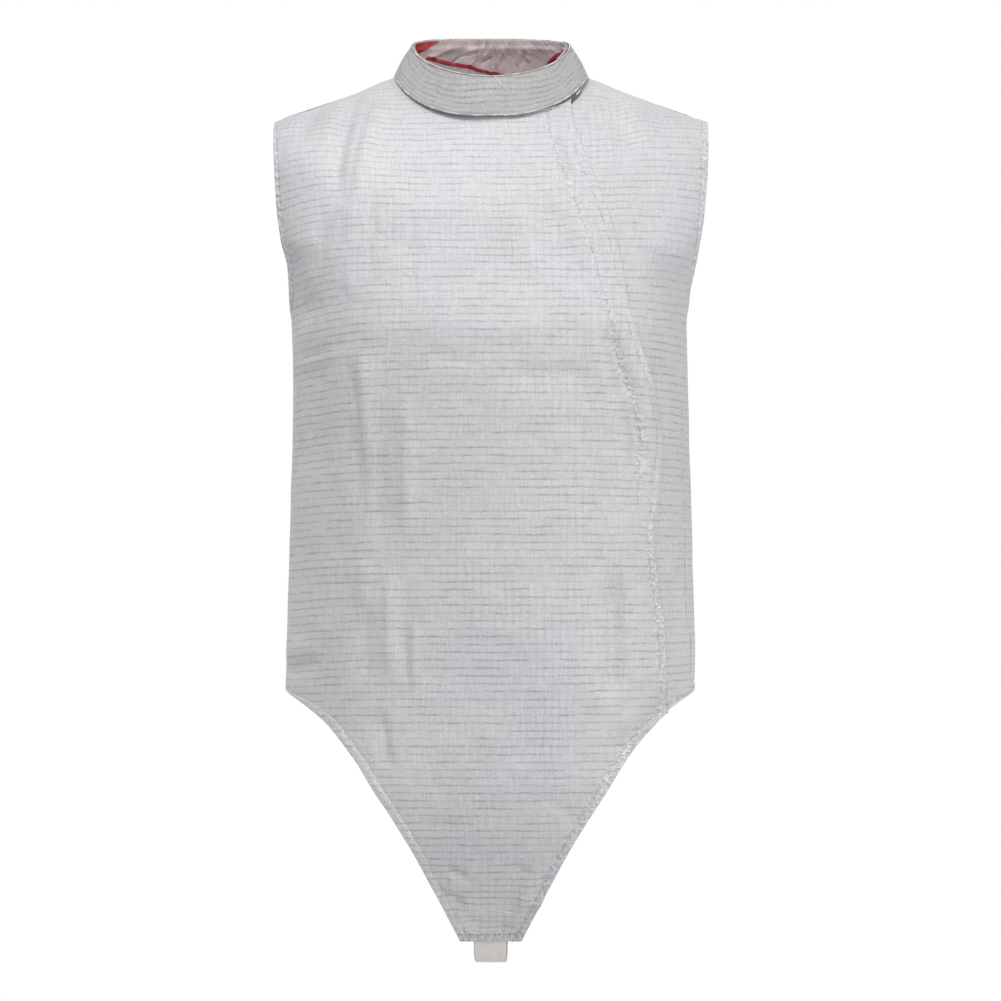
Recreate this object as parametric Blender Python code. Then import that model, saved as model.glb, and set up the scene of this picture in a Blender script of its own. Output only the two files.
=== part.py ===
"""Foil lame: the sleeveless conductive jacket worn over a fencing jacket.

The cloth keeps the shape it has when worn, with nobody in it. Units are metres, +Z is up.
The wearer faces -Y, so the wearer's left hand is on the +X side. The origin lies midway
between the two neck points, where the shoulder seams meet the collar.

The body of the garment is one smooth skin, given by a bearing round the wearer (0 at the
centre front, positive towards the wearer's left, pi at the centre back) and a height. Each
panel is a stretch of that skin between its own cut edges, with a wall behind it.
"""

import math
from collections import namedtuple

import bmesh
import bpy
import numpy as np

# Cloth
WALL = 0.0015
SEAM_GAP = 0.0003
LINING_WALL = 0.0012
ELASTIC_WALL = 0.0016

# Shoulders and neck
NECK_HALF_WIDTH = 0.0864
SHOULDER_HALF_WIDTH = 0.195
SHOULDER_SLOPE = math.tan(math.radians(20.5))
SHOULDER_DROP = SHOULDER_SLOPE * (SHOULDER_HALF_WIDTH - NECK_HALF_WIDTH)
RIDGE_AT_NECK = 0.026
RIDGE_AT_SHOULDER = 0.010
ROLL_AT_NECK_FRONT = 0.105
ROLL_AT_NECK_BACK = 0.050
ROLL_AT_SHOULDER = 0.050

# Levels
UNDERARM = -0.217
HEM = -0.552
FLAP_FOOT = -0.568
TIP = -0.772
TIP_HALF_WIDTH = 0.0275
BACK_HEM_DIP = 0.006

# Closure on the wearer's left
FLAP_TOP = 0.0708
FLAP_UNDERLAP = 0.022
FLAP_LIFT = 0.0030
FLAP_LIFT_WIDTH = 0.030
NECK_SAG = 0.008
FLAP_SAG = 0.004

# Side seams: how far each lies in front of the widest line
SIDE_SEAM_FORWARD_LEFT = 0.026
SIDE_SEAM_FORWARD_RIGHT = 0.002

# Rings round the neck, seen from above: half width, y of the widest place, how far the ring
# reaches in front of it and behind it, and how square each half is
Loop = namedtuple("Loop", "half_width middle front back square_front square_back")
NECKLINE = Loop(NECK_HALF_WIDTH, RIDGE_AT_NECK, 0.0900, 0.0395, 2.5, 2.4)
BAND_FOOT = Loop(NECK_HALF_WIDTH + 0.0020, RIDGE_AT_NECK, 0.0919, 0.0423, 2.5, 2.4)
BAND_RIM = Loop(0.0716, 0.037, 0.095, 0.023, 1.85, 3.2)

# Collar: a band that stands on the neckline, leans in to a tilted rim and laps over itself
BAND_LIFT = 0.0008
BAND_CROWN = 0.0015
BAND_STEPS = 76
RIM_FRONT_HEIGHT = -0.008
RIM_RISE = 0.409
BAND_START = math.radians(56)
BAND_END = math.radians(360 + 102)
PAST_FLAP = math.radians(360 + 53)
NECK_POINT = math.radians(360 + 90)
LAP_CLEAR = math.radians(106)
LAP_MERGED = math.radians(140)
LAP_IN = WALL + 0.0009
LINING_START = math.radians(57)
LINING_END = math.radians(360 + 50)
LINING_BEHIND = WALL + 0.0005
LINING_TOP = 0.985
PATCH_WALL = 0.0010
PATCH_BEHIND = LINING_BEHIND + LINING_WALL + 0.0005
PATCH_FROM = math.radians(244)
PATCH_TO = math.radians(280)
PATCH_LOW_BACK = 0.92
PATCH_LOW_FRONT = 0.68
PATCH_HIGH = 0.97

# Elastic crotch strap
STRAP_WIDTH = 0.030
STRAP_BEHIND = WALL + 0.0006 + ELASTIC_WALL / 2
STRAP_SLACK = 0.0010

# The skin, from the shoulders down to the crotch point. Above the underarm the ring is wider
# than the cloth, because the armholes are cut out of it.
Ring = namedtuple("Ring", "height half_width front back")
RINGS = [
    Ring(0.015, 0.216, 0.054, 0.076),
    Ring(-0.025, 0.215, 0.066, 0.080),
    Ring(-0.048, 0.214, 0.0757, 0.085),
    Ring(-0.093, 0.212, 0.097, 0.093),
    Ring(-0.129, 0.2075, 0.1145, 0.099),
    Ring(-0.165, 0.1975, 0.1265, 0.103),
    Ring(-0.195, 0.1868, 0.1365, 0.104),
    Ring(UNDERARM, 0.1800, 0.1436, 0.104),
    Ring(-0.237, 0.1786, 0.1474, 0.103),
    Ring(-0.262, 0.1780, 0.1472, 0.101),
    Ring(-0.305, 0.1782, 0.1452, 0.096),
    Ring(-0.385, 0.1800, 0.1390, 0.090),
    Ring(-0.465, 0.1820, 0.1350, 0.094),
    Ring(HEM, 0.1842, 0.1320, 0.103),
    Ring(-0.615, 0.1845, 0.1300, 0.106),
    Ring(-0.665, 0.1845, 0.1210, 0.106),
    Ring(-0.705, 0.1845, 0.1050, 0.106),
    Ring(-0.740, 0.1845, 0.0855, 0.106),
    Ring(TIP, 0.1845, 0.0660, 0.106),
]
SQUARENESS_FRONT = 2.35
SQUARENESS_BACK = 2.5

# Half width of the cloth at the armholes and along the leg edges
Edge = namedtuple("Edge", "height half_width")
ARMHOLE = [
    Edge(-SHOULDER_DROP, SHOULDER_HALF_WIDTH),
    Edge(-0.0815, 0.1928),
    Edge(-0.1294, 0.1890),
    Edge(-0.1533, 0.1855),
    Edge(-0.1724, 0.1830),
    Edge(-0.1930, 0.1808),
    Edge(-0.2070, 0.1801),
    Edge(UNDERARM, 0.1800),
]
LEG_EDGE = [
    Edge(HEM, 0.1842),
    Edge(-0.5640, 0.1655),
    Edge(-0.5770, 0.1470),
    Edge(-0.5930, 0.1308),
    Edge(-0.6110, 0.1170),
    Edge(-0.6350, 0.1018),
    Edge(-0.6610, 0.0858),
    Edge(-0.6900, 0.0688),
    Edge(-0.7200, 0.0535),
    Edge(-0.7500, 0.0388),
    Edge(TIP, TIP_HALF_WIDTH),
]
FLAP_EDGE = [
    Edge(-0.0050, 0.0665),
    Edge(-0.0300, 0.0708),
    Edge(-0.0505, 0.0722),
    Edge(-0.0895, 0.0838),
    Edge(-0.1260, 0.0982),
    Edge(-0.1660, 0.1106),
    Edge(-0.2185, 0.1207),
    Edge(-0.2680, 0.1338),
    Edge(-0.3000, 0.1426),
    Edge(-0.3300, 0.1471),
    Edge(-0.3750, 0.1446),
    Edge(-0.4190, 0.1413),
    Edge(-0.4865, 0.1479),
    Edge(-0.5345, 0.1509),
    Edge(FLAP_FOOT, 0.1535),
]

# The largest folds: a line down the skin, how wide it is and how far it stands out (or in)
Fold = namedtuple("Fold", "top foot x_top x_foot width height")
FOLDS = [
    Fold(-0.210, -0.345, -0.1230, -0.1190, 0.018, -0.0035),
    Fold(-0.220, -0.350, -0.1050, -0.1020, 0.017, 0.0025),
    Fold(-0.435, -0.550, -0.1060, -0.1070, 0.018, 0.0026),
    Fold(-0.435, -0.550, -0.0820, -0.0840, 0.016, -0.0026),
    Fold(-0.425, -0.550, 0.0960, 0.0980, 0.017, -0.0028),
    Fold(-0.435, -0.550, 0.1190, 0.1170, 0.017, 0.0024),
    Fold(-0.015, -0.080, -0.1300, -0.1500, 0.016, -0.0022),
    Fold(-0.015, -0.080, 0.1080, 0.1180, 0.015, -0.0022),
    Fold(-0.095, -0.235, 0.0400, 0.0900, 0.024, -0.0020),
]

# The strap's middle line, from the inside of the crotch point round to the back hem
Step = namedtuple("Step", "y z")
STRAP_ROUTE = [
    Step(-0.0480, -0.7900),
    Step(-0.0280, -0.7965),
    Step(-0.0040, -0.7850),
    Step(0.0250, -0.7450),
    Step(0.0560, -0.6880),
    Step(0.0810, -0.6290),
    Step(0.0950, -0.5850),
]
STRAP_SEWN = 0.026


def read(table, column, height):
    """A column of a table at any heights, as a smooth curve through its rows."""
    rows = sorted(table, key=lambda row: row.height)
    at = np.array([row.height for row in rows])
    value = np.array([getattr(row, column) for row in rows])
    slope = np.diff(value) / np.diff(at)
    tangent = np.zeros(len(rows))
    tangent[0], tangent[-1] = slope[0], slope[-1]
    left, right = slope[:-1], slope[1:]
    same_way = left * right > 0
    tangent[1:-1][same_way] = (2 * left * right / np.where(same_way, left + right, 1))[same_way]
    height = np.clip(height, at[0], at[-1])
    row = np.clip(np.searchsorted(at, height, side="right") - 1, 0, len(at) - 2)
    run = at[row + 1] - at[row]
    t = (height - at[row]) / run
    return ((2 * t**3 - 3 * t**2 + 1) * value[row]
            + (t**3 - 2 * t**2 + t) * run * tangent[row]
            + (3 * t**2 - 2 * t**3) * value[row + 1]
            + (t**3 - t**2) * run * tangent[row + 1])


def smooth_step(low, high, value):
    """0 below low, 1 above high, and a soft change between."""
    t = np.clip((value - low) / (high - low), 0, 1)
    return t * t * (3 - 2 * t)


def ridge_height(x):
    """Height of the shoulder line, rounded off across the neck."""
    x = np.abs(x)
    inside = SHOULDER_SLOPE * NECK_HALF_WIDTH / 2 * (1 - (x / NECK_HALF_WIDTH)**2)
    return np.where(x < NECK_HALF_WIDTH, inside, -SHOULDER_SLOPE * (x - NECK_HALF_WIDTH))


def along_shoulder(x, at_neck, at_shoulder):
    """A size that changes evenly from the neck to the end of the shoulder."""
    t = (np.abs(x) - NECK_HALF_WIDTH) / (SHOULDER_HALF_WIDTH - NECK_HALF_WIDTH)
    return at_neck + (at_shoulder - at_neck) * np.clip(t, 0, 1.2)


def ring_sizes(height, facing):
    """Half width, depth and squareness of the ring's front (facing -1) or back (+1) half."""
    half_width = read(RINGS, "half_width", height)
    depth = np.where(facing < 0, read(RINGS, "front", height), read(RINGS, "back", height))
    return half_width, depth, np.where(facing < 0, SQUARENESS_FRONT, SQUARENESS_BACK)


def bearing_of(x, height, facing):
    """Bearing of the skin's point at x on the front (facing -1) or the back (+1)."""
    half_width, depth, power = ring_sizes(height, facing)
    share = np.clip(np.abs(x) / half_width, 0, 1)
    out = depth * (1 - share**power)**(1 / power)
    return np.arctan2(x, -facing * out)


def plain_skin(bearing, height):
    """Point of the skin without its folds."""
    facing = np.where(np.cos(bearing) > 0, -1, 1)
    half_width, depth, power = ring_sizes(height, facing)
    reach = (np.abs(np.sin(bearing) / half_width)**power
             + np.abs(np.cos(bearing) / depth)**power)**(-1 / power)
    x = reach * np.sin(bearing)
    ring_y = -reach * np.cos(bearing)
    ridge_y = along_shoulder(x, RIDGE_AT_NECK, RIDGE_AT_SHOULDER)
    roll_at_neck = np.where(facing < 0, ROLL_AT_NECK_FRONT, ROLL_AT_NECK_BACK)
    roll = along_shoulder(x, roll_at_neck, ROLL_AT_SHOULDER)
    below = np.clip((ridge_height(x) - height) / roll, 0, 1)
    rolled = np.sqrt(1 - (1 - below)**2)
    return np.stack([x, ridge_y + (ring_y - ridge_y) * rolled, height + 0 * x], axis=-1)


def skin_normal(bearing, height):
    """Direction that faces straight out of the skin."""
    here = plain_skin(bearing, height)

    def beside(turn):
        there = plain_skin(bearing + turn, height)
        shift = ridge_height(there[..., 0]) - ridge_height(here[..., 0])
        return plain_skin(bearing + turn, height + shift)

    across = beside(1e-5) - beside(-1e-5)
    down = plain_skin(bearing, height - 1e-6) - here
    normal = np.cross(down, across)
    return normal / np.linalg.norm(normal, axis=-1, keepdims=True)


def fold_relief(x, height, facing):
    """How far the folds push the skin out at a point of the front."""
    relief = 0 * x
    for fold in FOLDS:
        t = np.clip((fold.top - height) / (fold.top - fold.foot), 0, 1)
        middle = fold.x_top + (fold.x_foot - fold.x_top) * t
        profile = np.exp(-((x - middle) / fold.width)**2)
        relief = relief + fold.height * np.sin(np.pi * t)**2 * profile
    return np.where(facing < 0, relief, 0)


def skin(bearing, height, out=0.0):
    """Point of the folded skin, moved out along its normal."""
    point = plain_skin(bearing, height)
    facing = np.where(np.cos(bearing) > 0, -1, 1)
    relief = fold_relief(point[..., 0], height, facing) + out
    return point + skin_normal(bearing, height) * np.asarray(relief)[..., None]


def height_on_skin(x, y, facing):
    """Height at which the skin passes over a point of the plan."""
    high = ridge_height(x)
    low = high - 0.12
    for _ in range(40):
        height = (low + high) / 2
        passed = facing * (plain_skin(bearing_of(x, height, facing), height)[..., 1] - y) > 0
        low = np.where(passed, height, low)
        high = np.where(passed, high, height)
    return (low + high) / 2


def neckline_height(x, facing):
    """Height of the neckline at x, on the front (facing -1) or the back (+1)."""
    power = np.where(facing < 0, NECKLINE.square_front, NECKLINE.square_back)
    depth = np.where(facing < 0, NECKLINE.front, NECKLINE.back)
    share = np.clip(np.abs(x) / NECKLINE.half_width, 0, 1)
    y = NECKLINE.middle + facing * depth * (1 - share**power)**(1 / power)
    return height_on_skin(x, y, facing)


def neck_sag(x):
    """How far the narrow front's neckline hangs below the rest, on the wearer's left."""
    return NECK_SAG * smooth_step(NECK_HALF_WIDTH, NECK_HALF_WIDTH - 0.009, x)


def flap_sag(x):
    """How far the big front's neckline hangs below the collar towards the flap's corner."""
    return FLAP_SAG * smooth_step(0.5 * FLAP_TOP, FLAP_TOP, x)


def top_height(x, facing):
    """Height of a panel's top edge: the neckline, then the shoulder seam."""
    on_neck = np.abs(x) < NECK_HALF_WIDTH
    return np.where(on_neck, neckline_height(x, facing), ridge_height(x))


def side_bearing(height, side):
    """Bearing of the side seam below the underarm, on side -1 (right) or +1 (left)."""
    half_width = read(RINGS, "half_width", height)
    forward = np.where(side > 0, SIDE_SEAM_FORWARD_LEFT, SIDE_SEAM_FORWARD_RIGHT)
    eased = forward * smooth_step(0.0, 0.05, UNDERARM - height)
    return side * (np.pi / 2 - np.arctan2(eased, half_width))


def outer_bearing(height, side, facing):
    """Bearing of a panel's outer edge: the armhole, then the side seam."""
    arm = bearing_of(side * read(ARMHOLE, "half_width", height), height, facing)
    seam = side_bearing(height, side)
    return np.where(height > UNDERARM, arm, seam)


def leg_bearing(height, side):
    """Bearing of the leg edge below the side seam."""
    return bearing_of(side * read(LEG_EDGE, "half_width", height), height, -1)


def flap_bearing(height, inset=0.0):
    """Bearing of the flap's edge, or of a line that lies inset from it."""
    return bearing_of(read(FLAP_EDGE, "half_width", height) - inset, height, -1)


def material(name, colour, roughness, metallic):
    """A Principled finish."""
    finish = bpy.data.materials.new(name)
    finish.use_nodes = True
    shader = finish.node_tree.nodes["Principled BSDF"]
    shader.inputs["Base Color"].default_value = (*colour, 1.0)
    shader.inputs["Roughness"].default_value = roughness
    shader.inputs["Metallic"].default_value = metallic
    return finish


def wall_between(name, outer, inner, finish, closed=False):
    """A solid between two grids of points, rows by columns, the outer one facing out."""
    rows, columns = outer.shape[:2]
    mesh = bmesh.new()
    near = [[mesh.verts.new(outer[i, j]) for j in range(columns)] for i in range(rows)]
    far = [[mesh.verts.new(inner[i, j]) for j in range(columns)] for i in range(rows)]
    for i in range(rows - 1):
        for j in range(columns if closed else columns - 1):
            k = (j + 1) % columns
            mesh.faces.new([near[i][j], near[i][k], near[i + 1][k], near[i + 1][j]])
            mesh.faces.new([far[i][j], far[i + 1][j], far[i + 1][k], far[i][k]])
    for j in range(columns if closed else columns - 1):
        k = (j + 1) % columns
        mesh.faces.new([near[0][k], near[0][j], far[0][j], far[0][k]])
        mesh.faces.new([near[-1][j], near[-1][k], far[-1][k], far[-1][j]])
    if not closed:
        for i in range(rows - 1):
            mesh.faces.new([near[i][0], near[i + 1][0], far[i + 1][0], far[i][0]])
            mesh.faces.new([near[i + 1][-1], near[i][-1], far[i][-1], far[i + 1][-1]])
    bmesh.ops.triangulate(mesh, faces=mesh.faces[:])
    bmesh.ops.recalc_face_normals(mesh, faces=mesh.faces[:])
    data = bpy.data.meshes.new(name)
    mesh.to_mesh(data)
    mesh.free()
    data.shade_smooth()
    data.set_sharp_from_angle(angle=math.radians(40))
    data.materials.append(finish)
    piece = bpy.data.objects.new(name, data)
    bpy.context.scene.collection.objects.link(piece)
    return piece


def spread(*stops):
    """Even steps between stops, given as value, number of steps, value, and so on."""
    values = [stops[0]]
    for start, count, end in zip(stops[0:-2:2], stops[1:-1:2], stops[2::2]):
        values += [start + (end - start) * (i + 1) / count for i in range(count)]
    return np.array(values)


def panel_grid(left, right, across, top_x, facing, sag=0.0):
    """Bearings and heights of a panel's grid.

    left and right give the bearing and height of the two edges, row by row from the foot.
    across runs from 0 to 1 along each row. top_x is where each column meets the top edge,
    which hangs lower by sag. The rows take on the shape of that edge above the underarm.
    """
    armhole_share = np.clip((left[1] - UNDERARM) / (-SHOULDER_DROP - UNDERARM), 0, 1)
    rise = armhole_share**1.6
    turn = left[0][:, None] * (1 - across) + right[0][:, None] * across
    height = left[1][:, None] * (1 - across) + right[1][:, None] * across
    top = top_height(top_x, facing) - sag
    top_turn = bearing_of(top_x, top, facing)
    if facing > 0:
        top_turn = np.where(top_turn < 0, top_turn + 2 * np.pi, top_turn)
    turn = turn + rise[:, None] * (top_turn - turn[-1])
    height = height + rise[:, None] * (top - height[-1])
    return turn, height


def top_rows(count):
    """Heights from the underarm to the shoulder, closer together at both ends."""
    t = np.linspace(0, 1, count + 1)
    return UNDERARM + (-SHOULDER_DROP - UNDERARM) * (1 - np.cos(t * np.pi)) / 2


def round_neck(across, start, end, x_start, x_end):
    """x along the neckline, in even turns round the neck between two places."""
    turns = np.arcsin(np.array([x_start, x_end]) / NECK_HALF_WIDTH)
    return NECK_HALF_WIDTH * np.sin(np.interp(across, [start, end], turns))


def flap_lift(bearing, height):
    """How far the big front stands off the skin near its flap edge."""
    x = plain_skin(bearing, height)[..., 0]
    lap = read(FLAP_EDGE, "half_width", height) - x
    on_flap = smooth_step(FLAP_FOOT - 0.030, FLAP_FOOT - 0.002, height)
    return FLAP_LIFT * (1 - smooth_step(0.026, 0.026 + FLAP_LIFT_WIDTH, lap)) * on_flap


def stand_off(points, facing):
    """Fronts and back stand half a seam gap from the line that they share."""
    return points + np.array([0, facing * SEAM_GAP / 2, 0])


ARM_ROWS = top_rows(12)


def make_front_main(finish):
    """Big front panel: wearer's right side, centre, crotch point and the closing flap."""
    heights = np.concatenate([
        spread(TIP, 3, -0.700, 5, -0.600, 2, FLAP_FOOT, 3, HEM, 10, UNDERARM)[:-1],
        ARM_ROWS,
    ])
    right_side = np.where(
        heights < HEM, leg_bearing(heights, -1), outer_bearing(heights, -1, -1))
    flap = np.where(heights < FLAP_FOOT, leg_bearing(heights, 1), flap_bearing(heights))
    neck_share = 0.44
    across = spread(0.0, 11, neck_share, 14, 1.0)
    top_x = np.where(
        across < neck_share,
        np.interp(across, [0, neck_share], [-SHOULDER_HALF_WIDTH, -NECK_HALF_WIDTH]),
        round_neck(across, neck_share, 1, -NECK_HALF_WIDTH, FLAP_TOP))
    turn, height = panel_grid((right_side, heights), (flap, heights), across, top_x, -1,
                              flap_sag(top_x))
    lift = flap_lift(turn, height)
    outer = stand_off(skin(turn, height, lift), -1)
    inner = stand_off(skin(turn, height, lift - WALL), -1)
    return wall_between("front_main", outer, inner, finish)


def make_front_side(finish):
    """Narrow front on the wearer's left, which runs under the flap."""
    heights = np.concatenate([spread(FLAP_FOOT, 3, HEM, 10, UNDERARM)[:-1], ARM_ROWS])
    flap = flap_bearing(heights, FLAP_UNDERLAP)
    side = np.where(heights < HEM, leg_bearing(heights, 1), outer_bearing(heights, 1, -1))
    neck_share = 0.26
    across = spread(0.0, 3, neck_share, 7, 1.0)
    top_x = np.where(
        across > neck_share,
        np.interp(across, [neck_share, 1], [NECK_HALF_WIDTH, SHOULDER_HALF_WIDTH]),
        round_neck(across, 0, neck_share, FLAP_TOP - FLAP_UNDERLAP, NECK_HALF_WIDTH))
    turn, height = panel_grid((flap, heights), (side, heights), across, top_x, -1, neck_sag(top_x))
    outer = stand_off(skin(turn, height), -1)
    inner = stand_off(skin(turn, height, -WALL), -1)
    return wall_between("front_side", outer, inner, finish)


def make_back(finish):
    """Back panel, cut nearly straight across at the hip."""
    heights = np.concatenate([spread(HEM, 10, UNDERARM)[:-1], ARM_ROWS])
    left_side = outer_bearing(heights, 1, 1)
    right_side = outer_bearing(heights, -1, 1) + 2 * np.pi
    neck_share = 0.28
    across = spread(0.0, 6, neck_share, 8, 1 - neck_share, 6, 1.0)
    half = np.minimum(across, 1 - across)
    top_x = np.where(
        half < neck_share,
        np.interp(half, [0, neck_share], [SHOULDER_HALF_WIDTH, NECK_HALF_WIDTH]),
        round_neck(half, neck_share, 0.5, NECK_HALF_WIDTH, 0)) * np.sign(0.5 - across)
    turn, height = panel_grid((left_side, heights), (right_side, heights), across, top_x, 1)
    dip = BACK_HEM_DIP * np.sin(np.pi * across)**2
    height = height - dip * (1 - smooth_step(HEM, HEM + 0.12, height))
    outer = stand_off(skin(turn, height), 1)
    inner = stand_off(skin(turn, height, -WALL), 1)
    return wall_between("back", outer, inner, finish)


def loop_point(loop, turn):
    """x and y of a ring round the neck at an angle from its front."""
    front = np.cos(turn) > 0
    depth = np.where(front, loop.front, loop.back)
    power = np.where(front, loop.square_front, loop.square_back)
    reach = (np.abs(np.sin(turn) / loop.half_width)**power
             + np.abs(np.cos(turn) / depth)**power)**(-1 / power)
    return reach * np.sin(turn), loop.middle - reach * np.cos(turn)


def shrunk(loop, inside):
    """The same ring, moved in all round."""
    return loop._replace(half_width=loop.half_width - inside, front=loop.front - inside,
                         back=loop.back - inside)


def band_foot(turn, inside):
    """Points on the skin that the collar stands on, a little inside its outer foot line."""
    x, y = loop_point(shrunk(BAND_FOOT, inside), turn)
    facing = np.where(np.cos(turn) > 0, -1, 1)
    under_lap = (turn < np.pi / 2) & (x > 0)
    height = height_on_skin(x, y, facing) - np.where(under_lap, neck_sag(x), 0)
    on_flap = (turn > 1.5 * np.pi) * (1 - smooth_step(PAST_FLAP, NECK_POINT, turn))
    lift = flap_lift(bearing_of(np.minimum(x, FLAP_TOP), height, -1), height) * on_flap
    return skin(bearing_of(x, height, facing), height, BAND_LIFT + lift)


def band_rim(turn, inside):
    """Points of the collar's rim, a rounded ring on a plane that rises towards the back."""
    x, y = loop_point(shrunk(BAND_RIM, inside), turn)
    front = BAND_RIM.middle - BAND_RIM.front
    return np.stack([x, y, RIM_FRONT_HEIGHT + RIM_RISE * (y - front)], axis=-1)


def band_face(turn, share, inside):
    """A face of the collar, at angles round the neck and shares of its height.

    It lies inside the collar's outer face. The start of the band tucks inside its far end.
    """
    share = share * np.ones_like(turn)
    tucked = LAP_IN * (1 - smooth_step(LAP_CLEAR, LAP_MERGED, turn))
    inside = inside + tucked - BAND_CROWN * np.sin(np.pi * share)
    foot = band_foot(turn + 0 * share, inside)
    rim = band_rim(turn + 0 * share, inside)
    return foot + (rim - foot) * share[..., None]


BAND_TURNS = np.linspace(BAND_START, BAND_END, BAND_STEPS + 1)
BAND_ROWS = np.array([0, 0.35, 0.7, 1])[:, None]


def band_stretch(start, end):
    """The collar's own steps between two angles, so that walls inside it keep their gap."""
    return BAND_TURNS[(BAND_TURNS >= start) & (BAND_TURNS <= end)]


def make_collar(finish):
    """Stand collar: one band, whose free end laps over its start on the wearer's left."""
    outer = band_face(BAND_TURNS, BAND_ROWS, 0.0)
    inner = band_face(BAND_TURNS, BAND_ROWS, WALL)
    return wall_between("collar", outer, inner, finish)


def make_collar_lining(finish):
    """Lining of the collar, a wall just inside the band."""
    turn = band_stretch(LINING_START, LINING_END)
    rows = BAND_ROWS * LINING_TOP
    outer = band_face(turn, rows, LINING_BEHIND)
    inner = band_face(turn, rows, LINING_BEHIND + LINING_WALL)
    return wall_between("collar_lining", outer, inner, finish)


def make_collar_patch(finish):
    """Plain wedge sewn inside the collar, below the rim on the wearer's right."""
    turn = band_stretch(PATCH_FROM, PATCH_TO)
    low = np.linspace(PATCH_LOW_BACK, PATCH_LOW_FRONT, len(turn))
    rows = np.stack([low, np.full(len(turn), PATCH_HIGH)])
    outer = band_face(turn, rows, PATCH_BEHIND)
    inner = band_face(turn, rows, PATCH_BEHIND + PATCH_WALL)
    return wall_between("collar_patch", outer, inner, finish)


def smooth_route(points, count):
    """Even steps along a smooth curve through points."""
    points = np.array(points)
    padded = np.vstack([2 * points[0] - points[1], points, 2 * points[-1] - points[-2]])
    t = np.linspace(0, len(points) - 1, 400)
    part = np.minimum(t.astype(int), len(points) - 2)
    f = (t - part)[:, None]
    before, start, end, after = (padded[part + k] for k in range(4))
    curve = 0.5 * (2 * start + (end - before) * f
                   + (2 * before - 5 * start + 4 * end - after) * f**2
                   + (3 * start - before - 3 * end + after) * f**3)
    run = np.concatenate([[0], np.cumsum(np.linalg.norm(np.diff(curve, axis=0), axis=1))])
    even = np.linspace(0, run[-1], count)
    return np.stack([np.interp(even, run, curve[:, k]) for k in range(curve.shape[1])], axis=-1)


def make_crotch_strap(finish):
    """Elastic strap from behind the crotch point to the inside of the back hem."""
    front = np.array([TIP + STRAP_SEWN, TIP + STRAP_SEWN / 2, TIP])
    hem = HEM - BACK_HEM_DIP
    back = np.array([hem, hem + STRAP_SEWN])
    behind_hem = STRAP_BEHIND + np.array([STRAP_SLACK, 0])
    route = np.vstack([
        stand_off(skin(0 * front, front, -STRAP_BEHIND), -1)[:, 1:],
        np.array(STRAP_ROUTE),
        stand_off(skin(np.pi + 0 * back, back, -behind_hem), 1)[:, 1:],
    ])
    middle = smooth_route(route, 34)
    along = np.gradient(middle, axis=0)
    along /= np.linalg.norm(along, axis=1, keepdims=True)
    below = np.stack([along[:, 1], -along[:, 0]], axis=-1) * ELASTIC_WALL / 2
    across = STRAP_WIDTH * np.array([-0.5, 0.5])

    def face(line):
        return np.stack([np.column_stack([0 * line[:, 0] + x, line]) for x in across], axis=1)

    return wall_between("crotch_strap", face(middle - below), face(middle + below), finish)


for leftover in list(bpy.data.objects):
    bpy.data.objects.remove(leftover)

make_front_main(material("lame_front", (0.62, 0.62, 0.64), 0.42, 0.35))
make_front_side(material("lame_side", (0.60, 0.60, 0.62), 0.42, 0.35))
make_back(material("lame_back", (0.61, 0.61, 0.63), 0.42, 0.35))
make_collar(material("lame_collar", (0.55, 0.55, 0.55), 0.45, 0.30))
make_collar_lining(material("lining", (0.36, 0.30, 0.30), 0.75, 0.0))
make_collar_patch(material("red_patch", (0.50, 0.02, 0.04), 0.70, 0.0))
make_crotch_strap(material("elastic", (0.62, 0.58, 0.54), 0.80, 0.0))
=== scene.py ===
"""Foil lame: the sleeveless conductive jacket worn over a fencing jacket, with nobody in it.

Units are metres and +Z is up. The wearer faces -Y, so the wearer's left hand is on the +X
side. The origin lies midway between the two neck points. The script follows the garment as
it is sewn: back, narrow front, big front with its flap, collar, lining, tape and strap.
"""

import math
from collections import namedtuple

import bpy
import numpy as np
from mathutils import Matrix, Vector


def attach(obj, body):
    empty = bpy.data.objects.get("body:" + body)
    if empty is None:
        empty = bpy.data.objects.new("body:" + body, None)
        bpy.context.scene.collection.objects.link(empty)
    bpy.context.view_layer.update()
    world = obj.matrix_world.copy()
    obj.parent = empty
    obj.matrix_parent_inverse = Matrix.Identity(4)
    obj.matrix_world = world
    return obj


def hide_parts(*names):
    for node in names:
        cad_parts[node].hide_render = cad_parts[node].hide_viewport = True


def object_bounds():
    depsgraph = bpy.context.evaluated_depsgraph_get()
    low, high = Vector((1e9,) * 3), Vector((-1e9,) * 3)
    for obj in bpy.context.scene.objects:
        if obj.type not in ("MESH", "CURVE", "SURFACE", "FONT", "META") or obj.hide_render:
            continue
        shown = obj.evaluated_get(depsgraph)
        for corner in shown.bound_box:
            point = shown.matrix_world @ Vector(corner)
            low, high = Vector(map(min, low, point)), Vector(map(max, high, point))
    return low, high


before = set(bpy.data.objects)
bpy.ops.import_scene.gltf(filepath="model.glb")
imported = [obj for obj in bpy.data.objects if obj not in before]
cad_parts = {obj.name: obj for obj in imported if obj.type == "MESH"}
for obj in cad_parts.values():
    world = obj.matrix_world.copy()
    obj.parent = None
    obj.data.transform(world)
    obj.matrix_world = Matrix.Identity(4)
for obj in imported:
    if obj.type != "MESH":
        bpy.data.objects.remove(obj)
cad_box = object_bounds()

# ---------------------------------------------------------------------------------------------
# Studio: a pale floor well below the garment, a white surround, one soft light high on the
# wearer's right and one low on the wearer's left. The camera stands level with the middle.

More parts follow.
